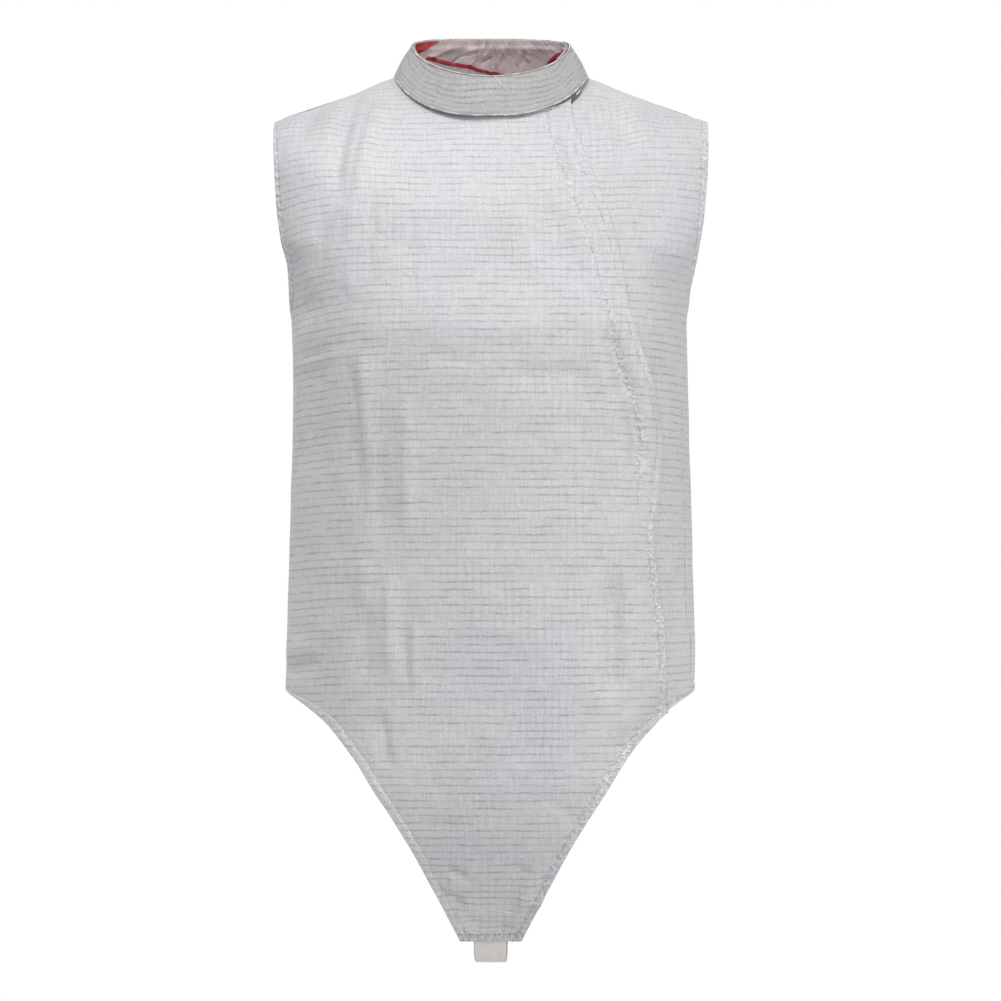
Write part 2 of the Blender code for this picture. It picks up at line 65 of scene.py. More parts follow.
VIEW_DISTANCE = 3.2
VIEW_WIDTH = 0.9009
VIEW_SIDE_STEP = 0.00855
VIEW_DROP = 0.0050
SENSOR = 36.0
FLOOR_DROP = 0.66
FLOOR_RADIUS = 4.2
FLOOR_SIDES = 96
FLOOR_GLOW = 0.45
SURROUND_LIGHT = 0.46
LAMP_DISTANCE = 3.2
LAMP_AIM = np.array([0.0, -0.10, -0.25])


def show(name, data):
    """A new object that holds this data, linked into the scene."""
    thing = bpy.data.objects.new(name, data)
    bpy.context.scene.collection.objects.link(thing)
    return thing


def node(tree, kind, inputs=None, **settings):
    """The outputs of a new node, with its settings made and its inputs set or linked."""
    made = tree.nodes.new(kind)
    for key, value in settings.items():
        setattr(made, key, value)
    for key, value in (inputs or {}).items():
        give(tree, made.inputs[key], value)
    return made.outputs


def give(tree, socket, value):
    """Sets a socket to a value, or links another socket to it."""
    if isinstance(value, bpy.types.NodeSocket):
        tree.links.new(value, socket)
    else:
        socket.default_value = value


def soft_box(name, azimuth, elevation, width, watts):
    """A square soft light that faces the garment; azimuth 0 is in front, 90 to its left."""
    data = bpy.data.lights.new(name, "AREA")
    data.size = width
    data.energy = watts
    lamp = show(name, data)
    turn, rise = math.radians(azimuth), math.radians(elevation)
    lamp.location = LAMP_AIM + LAMP_DISTANCE * np.array([
        math.sin(turn) * math.cos(rise), -math.cos(turn) * math.cos(rise), math.sin(rise)])
    lamp.rotation_euler = (math.pi / 2 - rise, 0, turn)


def lit_for_eyes_only(tree, seen_strength, lit_strength):
    """A light strength that is one value where it is looked at or reflected, another elsewhere."""
    path = node(tree, "ShaderNodeLightPath")
    seen = path["Is Camera Ray"]
    for ray in ("Is Glossy Ray", "Is Transmission Ray"):
        seen = node(tree, "ShaderNodeMath", {0: seen, 1: path[ray]}, operation="MAXIMUM")[0]
    return node(tree, "ShaderNodeMapRange",
                {"Value": seen, "To Min": lit_strength, "To Max": seen_strength})[0]


low_corner, high_corner = cad_box
view_height = (low_corner.z + high_corner.z) / 2 - VIEW_DROP

camera_data = bpy.data.cameras.new("camera")
camera_data.sensor_width = SENSOR
camera_data.lens = SENSOR * VIEW_DISTANCE / VIEW_WIDTH
camera = show("camera", camera_data)
camera.location = (VIEW_SIDE_STEP, -VIEW_DISTANCE, view_height)
camera.rotation_euler = (math.pi / 2, 0, 0)
bpy.context.scene.camera = camera
bpy.context.scene.view_settings.view_transform = "Standard"

soft_box("key", azimuth=-25, elevation=60, width=1.3, watts=54)
soft_box("side", azimuth=50, elevation=10, width=1.3, watts=31)

surround = bpy.data.worlds.new("surround")
surround.use_nodes = True
sky = surround.node_tree.nodes["Background"]
sky.inputs["Color"].default_value = (1, 1, 1, 1)
surround.node_tree.links.new(
    lit_for_eyes_only(surround.node_tree, 1.0, SURROUND_LIGHT), sky.inputs["Strength"])
bpy.context.scene.world = surround

floor_finish = bpy.data.materials.new("floor_paint")
floor_finish.use_nodes = True
paint = floor_finish.node_tree.nodes["Principled BSDF"]
paint.inputs["Base Color"].default_value = (0.80, 0.80, 0.80, 1)
paint.inputs["Roughness"].default_value = 0.9
paint.inputs["Emission Color"].default_value = (1, 1, 1, 1)
floor_finish.node_tree.links.new(
    lit_for_eyes_only(floor_finish.node_tree, FLOOR_GLOW, 0.0), paint.inputs["Emission Strength"])

rim_angles = np.linspace(0, 2 * math.pi, FLOOR_SIDES, endpoint=False)
floor_level = low_corner.z - FLOOR_DROP
floor_mesh = bpy.data.meshes.new("floor")
floor_mesh.from_pydata(
    [(FLOOR_RADIUS * math.cos(a), FLOOR_RADIUS * math.sin(a), floor_level) for a in rim_angles],
    [], [list(range(len(rim_angles)))])
floor_mesh.materials.append(floor_finish)
floor = show("floor", floor_mesh)

# ---------------------------------------------------------------------------------------------
# Back panel: one piece of silver-plated weave from the shoulders to a nearly straight hem. It
# is cut on the same skin as the fronts: a bearing round the wearer (0 at the centre front,
# positive to the wearer's left, pi at the centre back) and a height give every point of it.

CLOTH = 0.0013
SEAM_GAP = 0.0003
EDGE_ROUNDING = 0.45

NECK_HALF_WIDTH = 0.0864
SHOULDER_HALF_WIDTH = 0.195
SHOULDER_SLOPE = math.tan(math.radians(20.5))
SHOULDER_DROP = SHOULDER_SLOPE * (SHOULDER_HALF_WIDTH - NECK_HALF_WIDTH)
RIDGE_AT_NECK = 0.026
RIDGE_AT_SHOULDER = 0.010
ROLL_AT_NECK_FRONT = 0.105
ROLL_AT_NECK_BACK = 0.050
ROLL_AT_SHOULDER = 0.050
UNDERARM = -0.217
HEM = -0.552
FLAP_FOOT = -0.568
TIP = -0.772
DEEPEST_NECK = 0.12
SHOULDER_EASE = 0.0018
SHOULDER_EASE_REACH = 0.035
BACK_HEM_DIP = 0.006
SIDE_SEAM_FORWARD_LEFT = 0.026
SIDE_SEAM_FORWARD_RIGHT = 0.002


def table(kind, *rows):
    """Rows of plain values, each as a named row of this kind."""
    return [kind(*row) for row in rows]


Ring = namedtuple("Ring", "height half_width front back")
RINGS = table(
    Ring,
    (0.015, 0.216, 0.054, 0.076),
    (-0.025, 0.215, 0.066, 0.080),
    (-0.048, 0.214, 0.0757, 0.085),
    (-0.093, 0.212, 0.097, 0.093),
    (-0.129, 0.2075, 0.1145, 0.099),
    (-0.165, 0.1975, 0.1265, 0.103),
    (-0.195, 0.1868, 0.1365, 0.104),
    (UNDERARM, 0.1800, 0.1436, 0.104),
    (-0.237, 0.1786, 0.1474, 0.103),
    (-0.262, 0.1780, 0.1472, 0.101),
    (-0.305, 0.1782, 0.1452, 0.096),
    (-0.385, 0.1800, 0.1390, 0.090),
    (-0.465, 0.1820, 0.1350, 0.094),
    (HEM, 0.1842, 0.1320, 0.103),
    (-0.615, 0.1845, 0.1300, 0.106),
    (-0.665, 0.1845, 0.1210, 0.106),
    (-0.705, 0.1845, 0.1050, 0.106),
    (-0.740, 0.1845, 0.0855, 0.106),
    (TIP, 0.1845, 0.0660, 0.106))
SQUARENESS_FRONT = 2.35
SQUARENESS_BACK = 2.5

# Half width of the cloth at the armholes
Edge = namedtuple("Edge", "height half_width")
ARMHOLE = table(
    Edge,
    (-SHOULDER_DROP, SHOULDER_HALF_WIDTH), (-0.0815, 0.1928), (-0.1294, 0.1890), (-0.1533, 0.1855),
    (-0.1724, 0.1830), (-0.1930, 0.1808), (-0.2070, 0.1801), (UNDERARM, 0.1800))

Loop = namedtuple("Loop", "half_width middle front back square_front square_back")
NECKLINE = Loop(NECK_HALF_WIDTH, RIDGE_AT_NECK, 0.0900, 0.0395, 2.5, 2.4)

# Creases, seen from the front, in millimetres: where each starts and ends, its width, how far it
# stands out or in, how much steeper one side is than the other (the right-hand one of a line that
# runs down), and how far its middle bows out to that side
MM = 0.001
Crease = namedtuple("Crease", "x_start start x_end end width height lean bow", defaults=(0.0, 0.0))
BACK_CREASES = table(
    Crease,
    (-118, -205, -102, -370, 14, -3, 0.3),
    (-96, -220, -88, -350, 13, 2.2),
    (115, -215, 101, -390, 15, -3.2, -0.3),
    (93, -235, 84, -345, 12, 2),
    (-90, -60, -124, -215, 16, -1.8),
    (96, -70, 126, -230, 15, -2),
    (-30, -330, -45, -440, 20, -1.8),
    (24, -345, 38, -470, 22, -2),
    (-90, -430, -96, -560, 16, -2.2, 0.2),
    (-66, -440, -70, -565, 14, 1.8),
    (93, -425, 101, -560, 16, -2.4),
    (66, -450, 71, -570, 15, 1.6),
    (-30, -40, -52, -120, 14, -1.2),
    (34, -45, 50, -130, 13, -1.3),
    (140, -300, 130, -410, 10, -1.4),
    (-142, -290, -133, -420, 11, -1.4))


def read(table, column, height):
    """A column of a table at any heights, as a smooth curve through its rows."""
    rows = sorted(table, key=lambda row: row.height)
    at = np.array([row.height for row in rows])
    value = np.array([getattr(row, column) for row in rows])
    slope = np.diff(value) / np.diff(at)
    tangent = np.zeros(len(rows))
    tangent[0], tangent[-1] = slope[0], slope[-1]
    left, right = slope[:-1], slope[1:]
    same_way = left * right > 0
    tangent[1:-1][same_way] = (2 * left * right / np.where(same_way, left + right, 1))[same_way]
    height = np.clip(height, at[0], at[-1])
    row = np.clip(np.searchsorted(at, height, side="right") - 1, 0, len(at) - 2)
    run = at[row + 1] - at[row]
    t = (height - at[row]) / run
    return ((2 * t**3 - 3 * t**2 + 1) * value[row]
            + (t**3 - 2 * t**2 + t) * run * tangent[row]
            + (3 * t**2 - 2 * t**3) * value[row + 1]
            + (t**3 - t**2) * run * tangent[row + 1])


def smooth_step(low, high, value):
    """0 below low, 1 above high, and a soft change between."""
    t = np.clip((value - low) / (high - low), 0, 1)
    return t * t * (3 - 2 * t)


def ridge_height(x):
    """Height of the shoulder line, rounded off across the neck."""
    x = np.abs(x)
    inside = SHOULDER_SLOPE * NECK_HALF_WIDTH / 2 * (1 - (x / NECK_HALF_WIDTH)**2)
    return np.where(x < NECK_HALF_WIDTH, inside, -SHOULDER_SLOPE * (x - NECK_HALF_WIDTH))


def along_shoulder(x, at_neck, at_shoulder):
    """A size that changes evenly from the neck to the end of the shoulder."""
    t = (np.abs(x) - NECK_HALF_WIDTH) / (SHOULDER_HALF_WIDTH - NECK_HALF_WIDTH)
    return at_neck + (at_shoulder - at_neck) * np.clip(t, 0, 1.2)


def ring_sizes(height, facing):
    """Half width, depth and squareness of the ring's front (facing -1) or back (+1) half."""
    half_width = read(RINGS, "half_width", height)
    depth = np.where(facing < 0, read(RINGS, "front", height), read(RINGS, "back", height))
    return half_width, depth, np.where(facing < 0, SQUARENESS_FRONT, SQUARENESS_BACK)


def ring_depth(x, half_width, depth, power):
    """How far in front of a squarish ring's middle, or behind it, the ring passes over x."""
    share = np.clip(np.abs(x) / half_width, 0, 1)
    return depth * (1 - share**power)**(1 / power)


def ring_reach(turn, half_width, depth, power):
    """Distance from a squarish ring's middle to the ring, at an angle from its front."""
    return (np.abs(np.sin(turn) / half_width)**power
            + np.abs(np.cos(turn) / depth)**power)**(-1 / power)


def bearing_of(x, height, facing):
    """Bearing of the skin's point at x on the front (facing -1) or the back (+1)."""
    return np.arctan2(x, -facing * ring_depth(x, *ring_sizes(height, facing)))


def plain_skin(bearing, height):
    """Point of the skin without its creases."""
    facing = np.where(np.cos(bearing) > 0, -1, 1)
    reach = ring_reach(bearing, *ring_sizes(height, facing))
    x = reach * np.sin(bearing)
    ring_y = -reach * np.cos(bearing)
    ridge_y = along_shoulder(x, RIDGE_AT_NECK, RIDGE_AT_SHOULDER)
    roll_at_neck = np.where(facing < 0, ROLL_AT_NECK_FRONT, ROLL_AT_NECK_BACK)
    roll = along_shoulder(x, roll_at_neck, ROLL_AT_SHOULDER)
    below = np.clip((ridge_height(x) - height) / roll, 0, 1)
    rolled = np.sqrt(1 - (1 - below)**2)
    return np.stack([x, ridge_y + (ring_y - ridge_y) * rolled, height + 0 * x], axis=-1)


def unit(vectors):
    """Vectors of length 1."""
    return vectors / np.maximum(np.linalg.norm(vectors, axis=-1, keepdims=True), 1e-12)


def skin_normal(bearing, height):
    """Direction that faces straight out of the skin."""
    here = plain_skin(bearing, height)

    def beside(turn):
        there = plain_skin(bearing + turn, height)
        shift = ridge_height(there[..., 0]) - ridge_height(here[..., 0])
        return plain_skin(bearing + turn, height + shift)

    across = beside(1e-5) - beside(-1e-5)
    down = plain_skin(bearing, height - 1e-6) - here
    return unit(np.cross(down, across))


def crease_relief(creases, x, height):
    """How far a panel's creases push the cloth out at a point."""
    x, height = x / MM, height / MM
    relief = 0 * x
    for crease in creases:
        run_x, run_z = crease.x_end - crease.x_start, crease.end - crease.start
        length = math.hypot(run_x, run_z)
        t = ((x - crease.x_start) * run_x + (height - crease.start) * run_z) / length**2
        off = ((height - crease.start) * run_x - (x - crease.x_start) * run_z) / length
        off = (off - crease.bow * 4 * t * (1 - t)) / crease.width
        steep = np.where(off > 0, 1 + crease.lean, 1 - crease.lean)
        fade = smooth_step(0.0, 0.3, t) * smooth_step(0.0, 0.3, 1 - t)
        relief = relief + crease.height * fade * np.exp(-(off * steep)**2)
    return relief * MM


def loose_waves(x, height):
    """Slow, shallow unevenness of cloth that hangs free, about half a millimetre."""
    return 0.00022 * (np.sin(61 * x + 23 * height + 0.7) * np.sin(37 * height - 19 * x)
                      + np.sin(104 * x - 47 * height + 2.1) * np.sin(71 * height + 33 * x + 1.3))


# The wearer's left side is drawn in by this much, most under the arm
Ease = namedtuple("Ease", "height inwards")
SIDE_EASE = table(
    Ease,
    (-0.150, 0.0), (-0.180, 0.0018), (-0.200, 0.0042), (-0.217, 0.0040), (-0.240, 0.0026),
    (-0.270, 0.0016), (-0.330, 0.0005), (-0.400, 0.0), (-0.500, 0.0), (-0.550, 0.0014))
front_creases = []


def shoulder_ease(x, height):
    """How much lower the shoulders lie, close to the seam, than the straight slope."""
    along = smooth_step(0.10, 0.13, np.abs(x))
    near_seam = 1 - smooth_step(0.0, SHOULDER_EASE_REACH, ridge_height(x) - height)
    return SHOULDER_EASE * along * near_seam


def skin(bearing, height, out=0.0):
    """Point of the creased skin, moved out along its normal."""
    point = plain_skin(bearing, height)
    x = point[..., 0]
    in_front = smooth_step(-0.15, 0.15, np.cos(bearing))
    relief = (in_front * crease_relief(front_creases, x, height)
              + (1 - in_front) * crease_relief(BACK_CREASES, x, height))
    relief = relief * smooth_step(-0.002, 0.010, ridge_height(x) - height)
    at_side = smooth_step(0.60, 0.98, np.sin(bearing))
    relief = relief + loose_waves(x, height) - at_side * read(SIDE_EASE, "inwards", height) + out
    eased = point + skin_normal(bearing, height) * np.asarray(relief)[..., None]
    eased[..., 2] -= shoulder_ease(x, height)
    return eased


def height_on_skin(x, y, facing):
    """Height at which the skin passes over a point of the plan."""
    high = ridge_height(x)
    low = high - DEEPEST_NECK
    for _ in range(40):
        height = (low + high) / 2
        passed = facing * (plain_skin(bearing_of(x, height, facing), height)[..., 1] - y) > 0
        low = np.where(passed, height, low)
        high = np.where(passed, high, height)
    return (low + high) / 2


def loop_sizes(loop, in_front):
    """Half width, depth and squareness of the front or the back half of a ring round the neck."""
    return (loop.half_width, np.where(in_front, loop.front, loop.back),
            np.where(in_front, loop.square_front, loop.square_back))


def neckline_height(x, facing):
    """Height of the neckline at x, on the front (facing -1) or the back (+1)."""
    out = ring_depth(x, *loop_sizes(NECKLINE, facing < 0))
    return height_on_skin(x, NECKLINE.middle + facing * out, facing)


def top_height(x, facing):
    """Height of a panel's top edge: the neckline, then the shoulder seam."""
    on_neck = np.abs(x) < NECK_HALF_WIDTH
    return np.where(on_neck, neckline_height(x, facing), ridge_height(x))


def side_bearing(height, side):
    """Bearing of the side seam below the underarm, on side -1 (right) or +1 (left)."""
    half_width = read(RINGS, "half_width", height)
    forward = np.where(side > 0, SIDE_SEAM_FORWARD_LEFT, SIDE_SEAM_FORWARD_RIGHT)
    eased = forward * smooth_step(0.0, 0.05, UNDERARM - height)
    return side * (np.pi / 2 - np.arctan2(eased, half_width))


def outer_bearing(height, side, facing):
    """Bearing of a panel's outer edge: the armhole, then the side seam."""
    arm = bearing_of(side * read(ARMHOLE, "half_width", height), height, facing)
    seam = side_bearing(height, side)
    return np.where(height > UNDERARM, arm, seam)


def spread(low, count, high):
    """Heights in even steps from low to high, both included."""
    return np.linspace(low, high, count + 1)


def top_rows(count):
    """Heights from the underarm to the shoulder, closer together at both ends."""
    t = np.linspace(0, 1, count + 1)
    return UNDERARM + (-SHOULDER_DROP - UNDERARM) * (1 - np.cos(t * np.pi)) / 2


def round_neck(across, start, end, x_start, x_end):
    """x along the neckline, in even turns round the neck between two places."""
    turns = np.arcsin(np.array([x_start, x_end]) / NECK_HALF_WIDTH)
    return NECK_HALF_WIDTH * np.sin(np.interp(across, [start, end], turns))


def top_edge(share, near, side, end, x_end):
    """x along a panel's top edge, on side -1 (right) or +1 (left).

    The shoulder seam runs to the column nearest to the share near. The neckline runs on from
    there, to x_end at the share end.
    """
    neck = share[int(np.argmin(np.abs(share - near)))]
    seam = side * np.interp(share, [0, neck], [SHOULDER_HALF_WIDTH, NECK_HALF_WIDTH])
    return np.where(share < neck, seam,
                    round_neck(share, neck, end, side * NECK_HALF_WIDTH, x_end))


def stand_off(points, facing):
    """Fronts and back stand half a seam gap from the line that they share."""
    return points + np.array([0, facing * SEAM_GAP / 2, 0])


# Grid lines near an edge: the cloth is turned in and topstitched there
HEM_STITCH = 0.0064
HEM_LINES = np.array([0.0, 0.8, 2.4, 4.2, 5.5, 6.4, 7.3, 8.6, 11.0, 14.0]) * MM
HEM_STITCH_LINE = 5
HEM_PUFF = 0.00050
HEM_GROOVE = 0.00070


def run_along(points, axis=0):
    """Distance along each line of a net of points, from where the line starts."""
    steps = np.linalg.norm(np.diff(points, axis=axis), axis=-1)
    return np.insert(np.cumsum(steps, axis=axis), 0, 0, axis=axis)


def between_edges(left, right, across):
    """Bearings and heights at shares across the rows between two edges."""
    return [start[:, None] * (1 - across) + end[:, None] * across
            for start, end in zip(left, right)]


def slant(turn, height):
    """How much further apart lines along an edge lie on the level than square to the edge."""
    along = unit(np.gradient(plain_skin(turn, height), axis=0))
    level = unit(plain_skin(turn + 1e-4, height) - plain_skin(turn - 1e-4, height))
    lean = np.sum(along * level, axis=-1)
    stretch = np.clip(1 / np.sqrt(np.clip(1 - lean**2, 0.05, 1)), 1, 2.1)
    return np.convolve(np.pad(stretch, 3, mode="edge"), np.ones(7) / 7, mode="valid")


def grid_shares(left, right, near_left, near_right, count):
    """Shares across each row: fixed distances near both edges and even steps between."""
    rows = plain_skin(*between_edges(left, right, np.linspace(0, 1, 60)))
    width = run_along(rows, axis=1)[:, -1]
    reach_left = slant(*left) / width
    reach_right = slant(*right) / width
    taken = near_left[-1] * reach_left + near_right[-1] * reach_right
    fit = np.minimum(1, 0.9 / taken)
    start = near_left * (reach_left * fit)[:, None]
    end = 1 - near_right[::-1] * (reach_right * fit)[:, None]
    t = np.linspace(0, 1, count + 1)[1:-1]
    middle = start[:, -1:] * (1 - t) + end[:, :1] * t
    return np.hstack([start, middle, end])


def panel_grid(left, right, across, top_x, facing, sag=0.0):
    """Bearings and heights of a panel's grid.

    left and right give the bearing and height of the two edges, row by row from the foot.
    across holds shares from 0 to 1 along each row. top_x is where each column meets the top
    edge, which hangs lower by sag. The rows take on that edge's shape above the underarm.
    """
    armhole_share = np.clip((left[1] - UNDERARM) / (-SHOULDER_DROP - UNDERARM), 0, 1)
    rise = armhole_share**1.6
    turn, height = between_edges(left, right, across)
    top = top_height(top_x, facing) - sag
    top_turn = bearing_of(top_x, top, facing)
    if facing > 0:
        top_turn = np.where(top_turn < 0, top_turn + 2 * np.pi, top_turn)
    turn = turn + rise[:, None] * (top_turn - turn[-1])
    height = height + rise[:, None] * (top - height[-1])
    return turn, height


def from_edge(near, count, rows):
    """Distance of each column or row from the edge at its start, and far away past the lines."""
    distance = np.full(count, 1.0)
    distance[:len(near)] = near
    return np.broadcast_to(distance, (rows, count))


def hem_relief(distance):
    """Turned-in edge: a little fuller up to the topstitching, and drawn in along it."""
    puff = HEM_PUFF * (1 - smooth_step(HEM_STITCH - 0.0012, HEM_STITCH + 0.0006, distance))
    return puff - HEM_GROOVE * np.exp(-((distance - HEM_STITCH) / 0.0010)**2)


def at_armhole(heights):
    """1 in rows beside the armholes, and 0 in those below."""
    return smooth_step(UNDERARM - 0.004, UNDERARM + 0.006, heights)[:, None]


def hem_worked(distance):
    """How much a hem's stitching puckers the cloth this far from the edge, from 0 to 1."""
    return 1 - smooth_step(HEM_STITCH + 0.0010, HEM_STITCH + 0.0040, distance)


# The weave's own measure: metres along the weft and the warp from the panel's middle at the
# hem. The wefts droop towards the armholes and sides, by this much at the edge.
Droop = namedtuple("Droop", "height right left")
DROOPS = table(
    Droop,
    (0.00, 0.004, 0.002), (-0.09, 0.009, 0.002), (-0.20, 0.013, 0.004), (-0.30, 0.009, 0.007),
    (-0.42, 0.006, 0.003), (-0.52, 0.008, 0.001), (-0.60, 0.006, 0.000), (TIP, 0.000, 0.000))
MEASURE_HEIGHTS = np.linspace(TIP - 0.01, 0.03, 320)
MEASURE_TURNS = np.linspace(-np.pi, np.pi, 181)
skin_net = plain_skin(MEASURE_TURNS[:, None], MEASURE_HEIGHTS[None, :])
up_length = run_along(skin_net, axis=1)
hem_index = int(np.argmin(np.abs(MEASURE_HEIGHTS - HEM)))
up_length -= up_length[:, hem_index:hem_index + 1]
round_length = run_along(skin_net)
round_length -= round_length[len(MEASURE_TURNS) // 2]


def sample(net, turn, height):
    """A net of measures, read between its lines."""
    i = (turn - MEASURE_TURNS[0]) / (MEASURE_TURNS[1] - MEASURE_TURNS[0])
    j = (height - MEASURE_HEIGHTS[0]) / (MEASURE_HEIGHTS[1] - MEASURE_HEIGHTS[0])
    i0 = np.clip(i.astype(int), 0, net.shape[0] - 2)
    j0 = np.clip(j.astype(int), 0, net.shape[1] - 2)
    a, b = i - i0, j - j0
    return ((net[i0, j0] * (1 - b) + net[i0, j0 + 1] * b) * (1 - a)
            + (net[i0 + 1, j0] * (1 - b) + net[i0 + 1, j0 + 1] * b) * a)


def weave_measure(turn, height, facing):
    """Metres along the weft and the warp at points of a panel."""
    turn = (turn + np.pi) % (2 * np.pi) - np.pi
    along = sample(round_length, turn, height)
    if facing > 0:
        along = along - np.sign(along) * sample(round_length, np.pi + 0 * turn, height)
    x = plain_skin(turn, height)[..., 0]
    droop = np.where(x < 0, read(DROOPS, "right", height), read(DROOPS, "left", height))
    share = np.clip(np.abs(x) / read(RINGS, "half_width", UNDERARM), 0, 1.1)
    return measure_of(along, sample(up_length, turn, height) + droop * share**4)


def measure_of(along, up):
    """A measure of cloth from metres along its weft and metres along its warp."""
    return np.stack(np.broadcast_arrays(along, up), axis=-1)


def round_edges(grid, radius):
    """The grid with its outermost lines drawn in, to leave room for a rounded edge."""
    grid = grid.copy()
    for edge, inside in ((0, 1), (-1, -2)):
        grid[edge] += unit(grid[inside] - grid[edge]) * radius
        grid[:, edge] += unit(grid[:, inside] - grid[:, edge]) * radius
    return grid


def cloth_shell(name, outer, inner, measure, finish, worked=None):
    """A closed sheet of cloth between two grids of points, with a rounded edge all round.

    worked says, point by point, how much the sewing has puckered the cloth, from 0 to 1.
    """
    rows, columns = outer.shape[:2]
    count = rows * columns
    radius = EDGE_ROUNDING * float(np.median(np.linalg.norm(outer - inner, axis=-1)))
    index = np.arange(count).reshape(rows, columns)
    rim = np.concatenate([index[0], index[1:, -1], index[-1, -2::-1], index[-2:0:-1, 0]])

    def all_points(front, behind, between):
        """Values of both faces and, last, of the edge that joins them."""
        flat = [grid.reshape(count, -1) for grid in (front, behind, between)]
        return np.vstack([flat[0], flat[1], flat[2][rim]])

    points = all_points(round_edges(outer, radius), round_edges(inner, radius),
                        (outer + inner) / 2)
    a, b, c, d = index[:-1, :-1], index[:-1, 1:], index[1:, 1:], index[1:, :-1]
    face = np.stack([a, b, c, d], axis=-1).reshape(-1, 4)
    edge = 2 * count + np.arange(len(rim))
    rim_next, edge_next = np.roll(rim, -1), np.roll(edge, -1)
    round_rim = np.stack([rim_next, rim, edge, edge_next,
                          edge_next, edge, rim + count, rim_next + count], axis=-1)
    quads = np.vstack([face, face[:, ::-1] + count, round_rim.reshape(-1, 4)])
    mesh = bpy.data.meshes.new(name)
    mesh.from_pydata(points.tolist(), [], quads.tolist())
    uv = mesh.uv_layers.new(name="weave")
    corner = np.zeros(len(mesh.loops), dtype=np.int32)
    mesh.loops.foreach_get("vertex_index", corner)
    marks = all_points(measure, measure, measure)
    uv.data.foreach_set("uv", marks[corner].astype(np.float32).ravel())
    if worked is not None:
        level = all_points(worked, worked, worked).ravel()
        mesh.attributes.new("worked", "FLOAT", "POINT").data.foreach_set("value", level)
    mesh.shade_smooth()
    mesh.materials.append(finish)
    mesh.validate()
    return show(name, mesh)


class Finish:
    """A material whose nodes are added one after another."""

    def __init__(self, name):
        self.material = bpy.data.materials.new(name)
        self.material.use_nodes = True
        self.tree = self.material.node_tree
        self.surface = self.tree.nodes["Principled BSDF"].inputs

    def node(self, kind, inputs=None, **settings):
        """The outputs of a new node of this material."""
        return node(self.tree, kind, inputs, **settings)

    def cloth_measure(self):
        """Metres along the weft and the warp, as the mesh states them."""
        split = self.node("ShaderNodeSeparateXYZ", {
            "Vector": self.node("ShaderNodeUVMap", uv_map="weave")[0]})
        return split["X"], split["Y"]

    def sum(self, operation, *values):
        """One step of arithmetic."""
        return self.node("ShaderNodeMath", dict(enumerate(values)), operation=operation)[0]

    def add_up(self, total, *parts):
        """A total with parts added, each given as a value and how much of it to add."""
        for value, amount in parts:
            total = self.sum("MULTIPLY_ADD", value, amount, total)
        return total

    def between(self, value, low, high, to_low=0.0, to_high=1.0):
        """A value taken from one range into another, softly at both ends."""
        return self.node("ShaderNodeMapRange",
                         {"Value": value, "From Min": low, "From Max": high,
                          "To Min": to_low, "To Max": to_high},
                         interpolation_type="SMOOTHSTEP")[0]

    def cloud(self, x, y, x_scale, y_scale, detail=1.0, z=0.0):
        """Soft random patches, stretched to so many in each metre of x and y."""
        place = self.node("ShaderNodeCombineXYZ", {
            "X": self.sum("MULTIPLY", x, x_scale), "Y": self.sum("MULTIPLY", y, y_scale), "Z": z})
        return self.node("ShaderNodeTexNoise",
                         {"Vector": place[0], "Scale": 1.0, "Detail": detail})["Fac"]

    def mix(self, share, first, second):
        """A colour between two others."""
        return self.node("ShaderNodeMix", {"Factor": share, 6: first, 7: second},
                         data_type="RGBA")[2]

    def dress(self, colour, shade, roughness, height=None):
        """The material with its colour times its shade, its roughness and its relief."""
        shaded = self.node("ShaderNodeVectorMath", {0: colour, "Scale": shade}, operation="SCALE")
        give(self.tree, self.surface["Base Color"], shaded[0])
        give(self.tree, self.surface["Roughness"], roughness)
        if height is not None:
            bump = self.node("ShaderNodeBump", {"Height": height, "Strength": 1.0, "Distance": 1.0})
            give(self.tree, self.surface["Normal"], bump[0])
        return self.material


WEFT_PITCH = 0.0068
WARP_PITCH = 0.0069


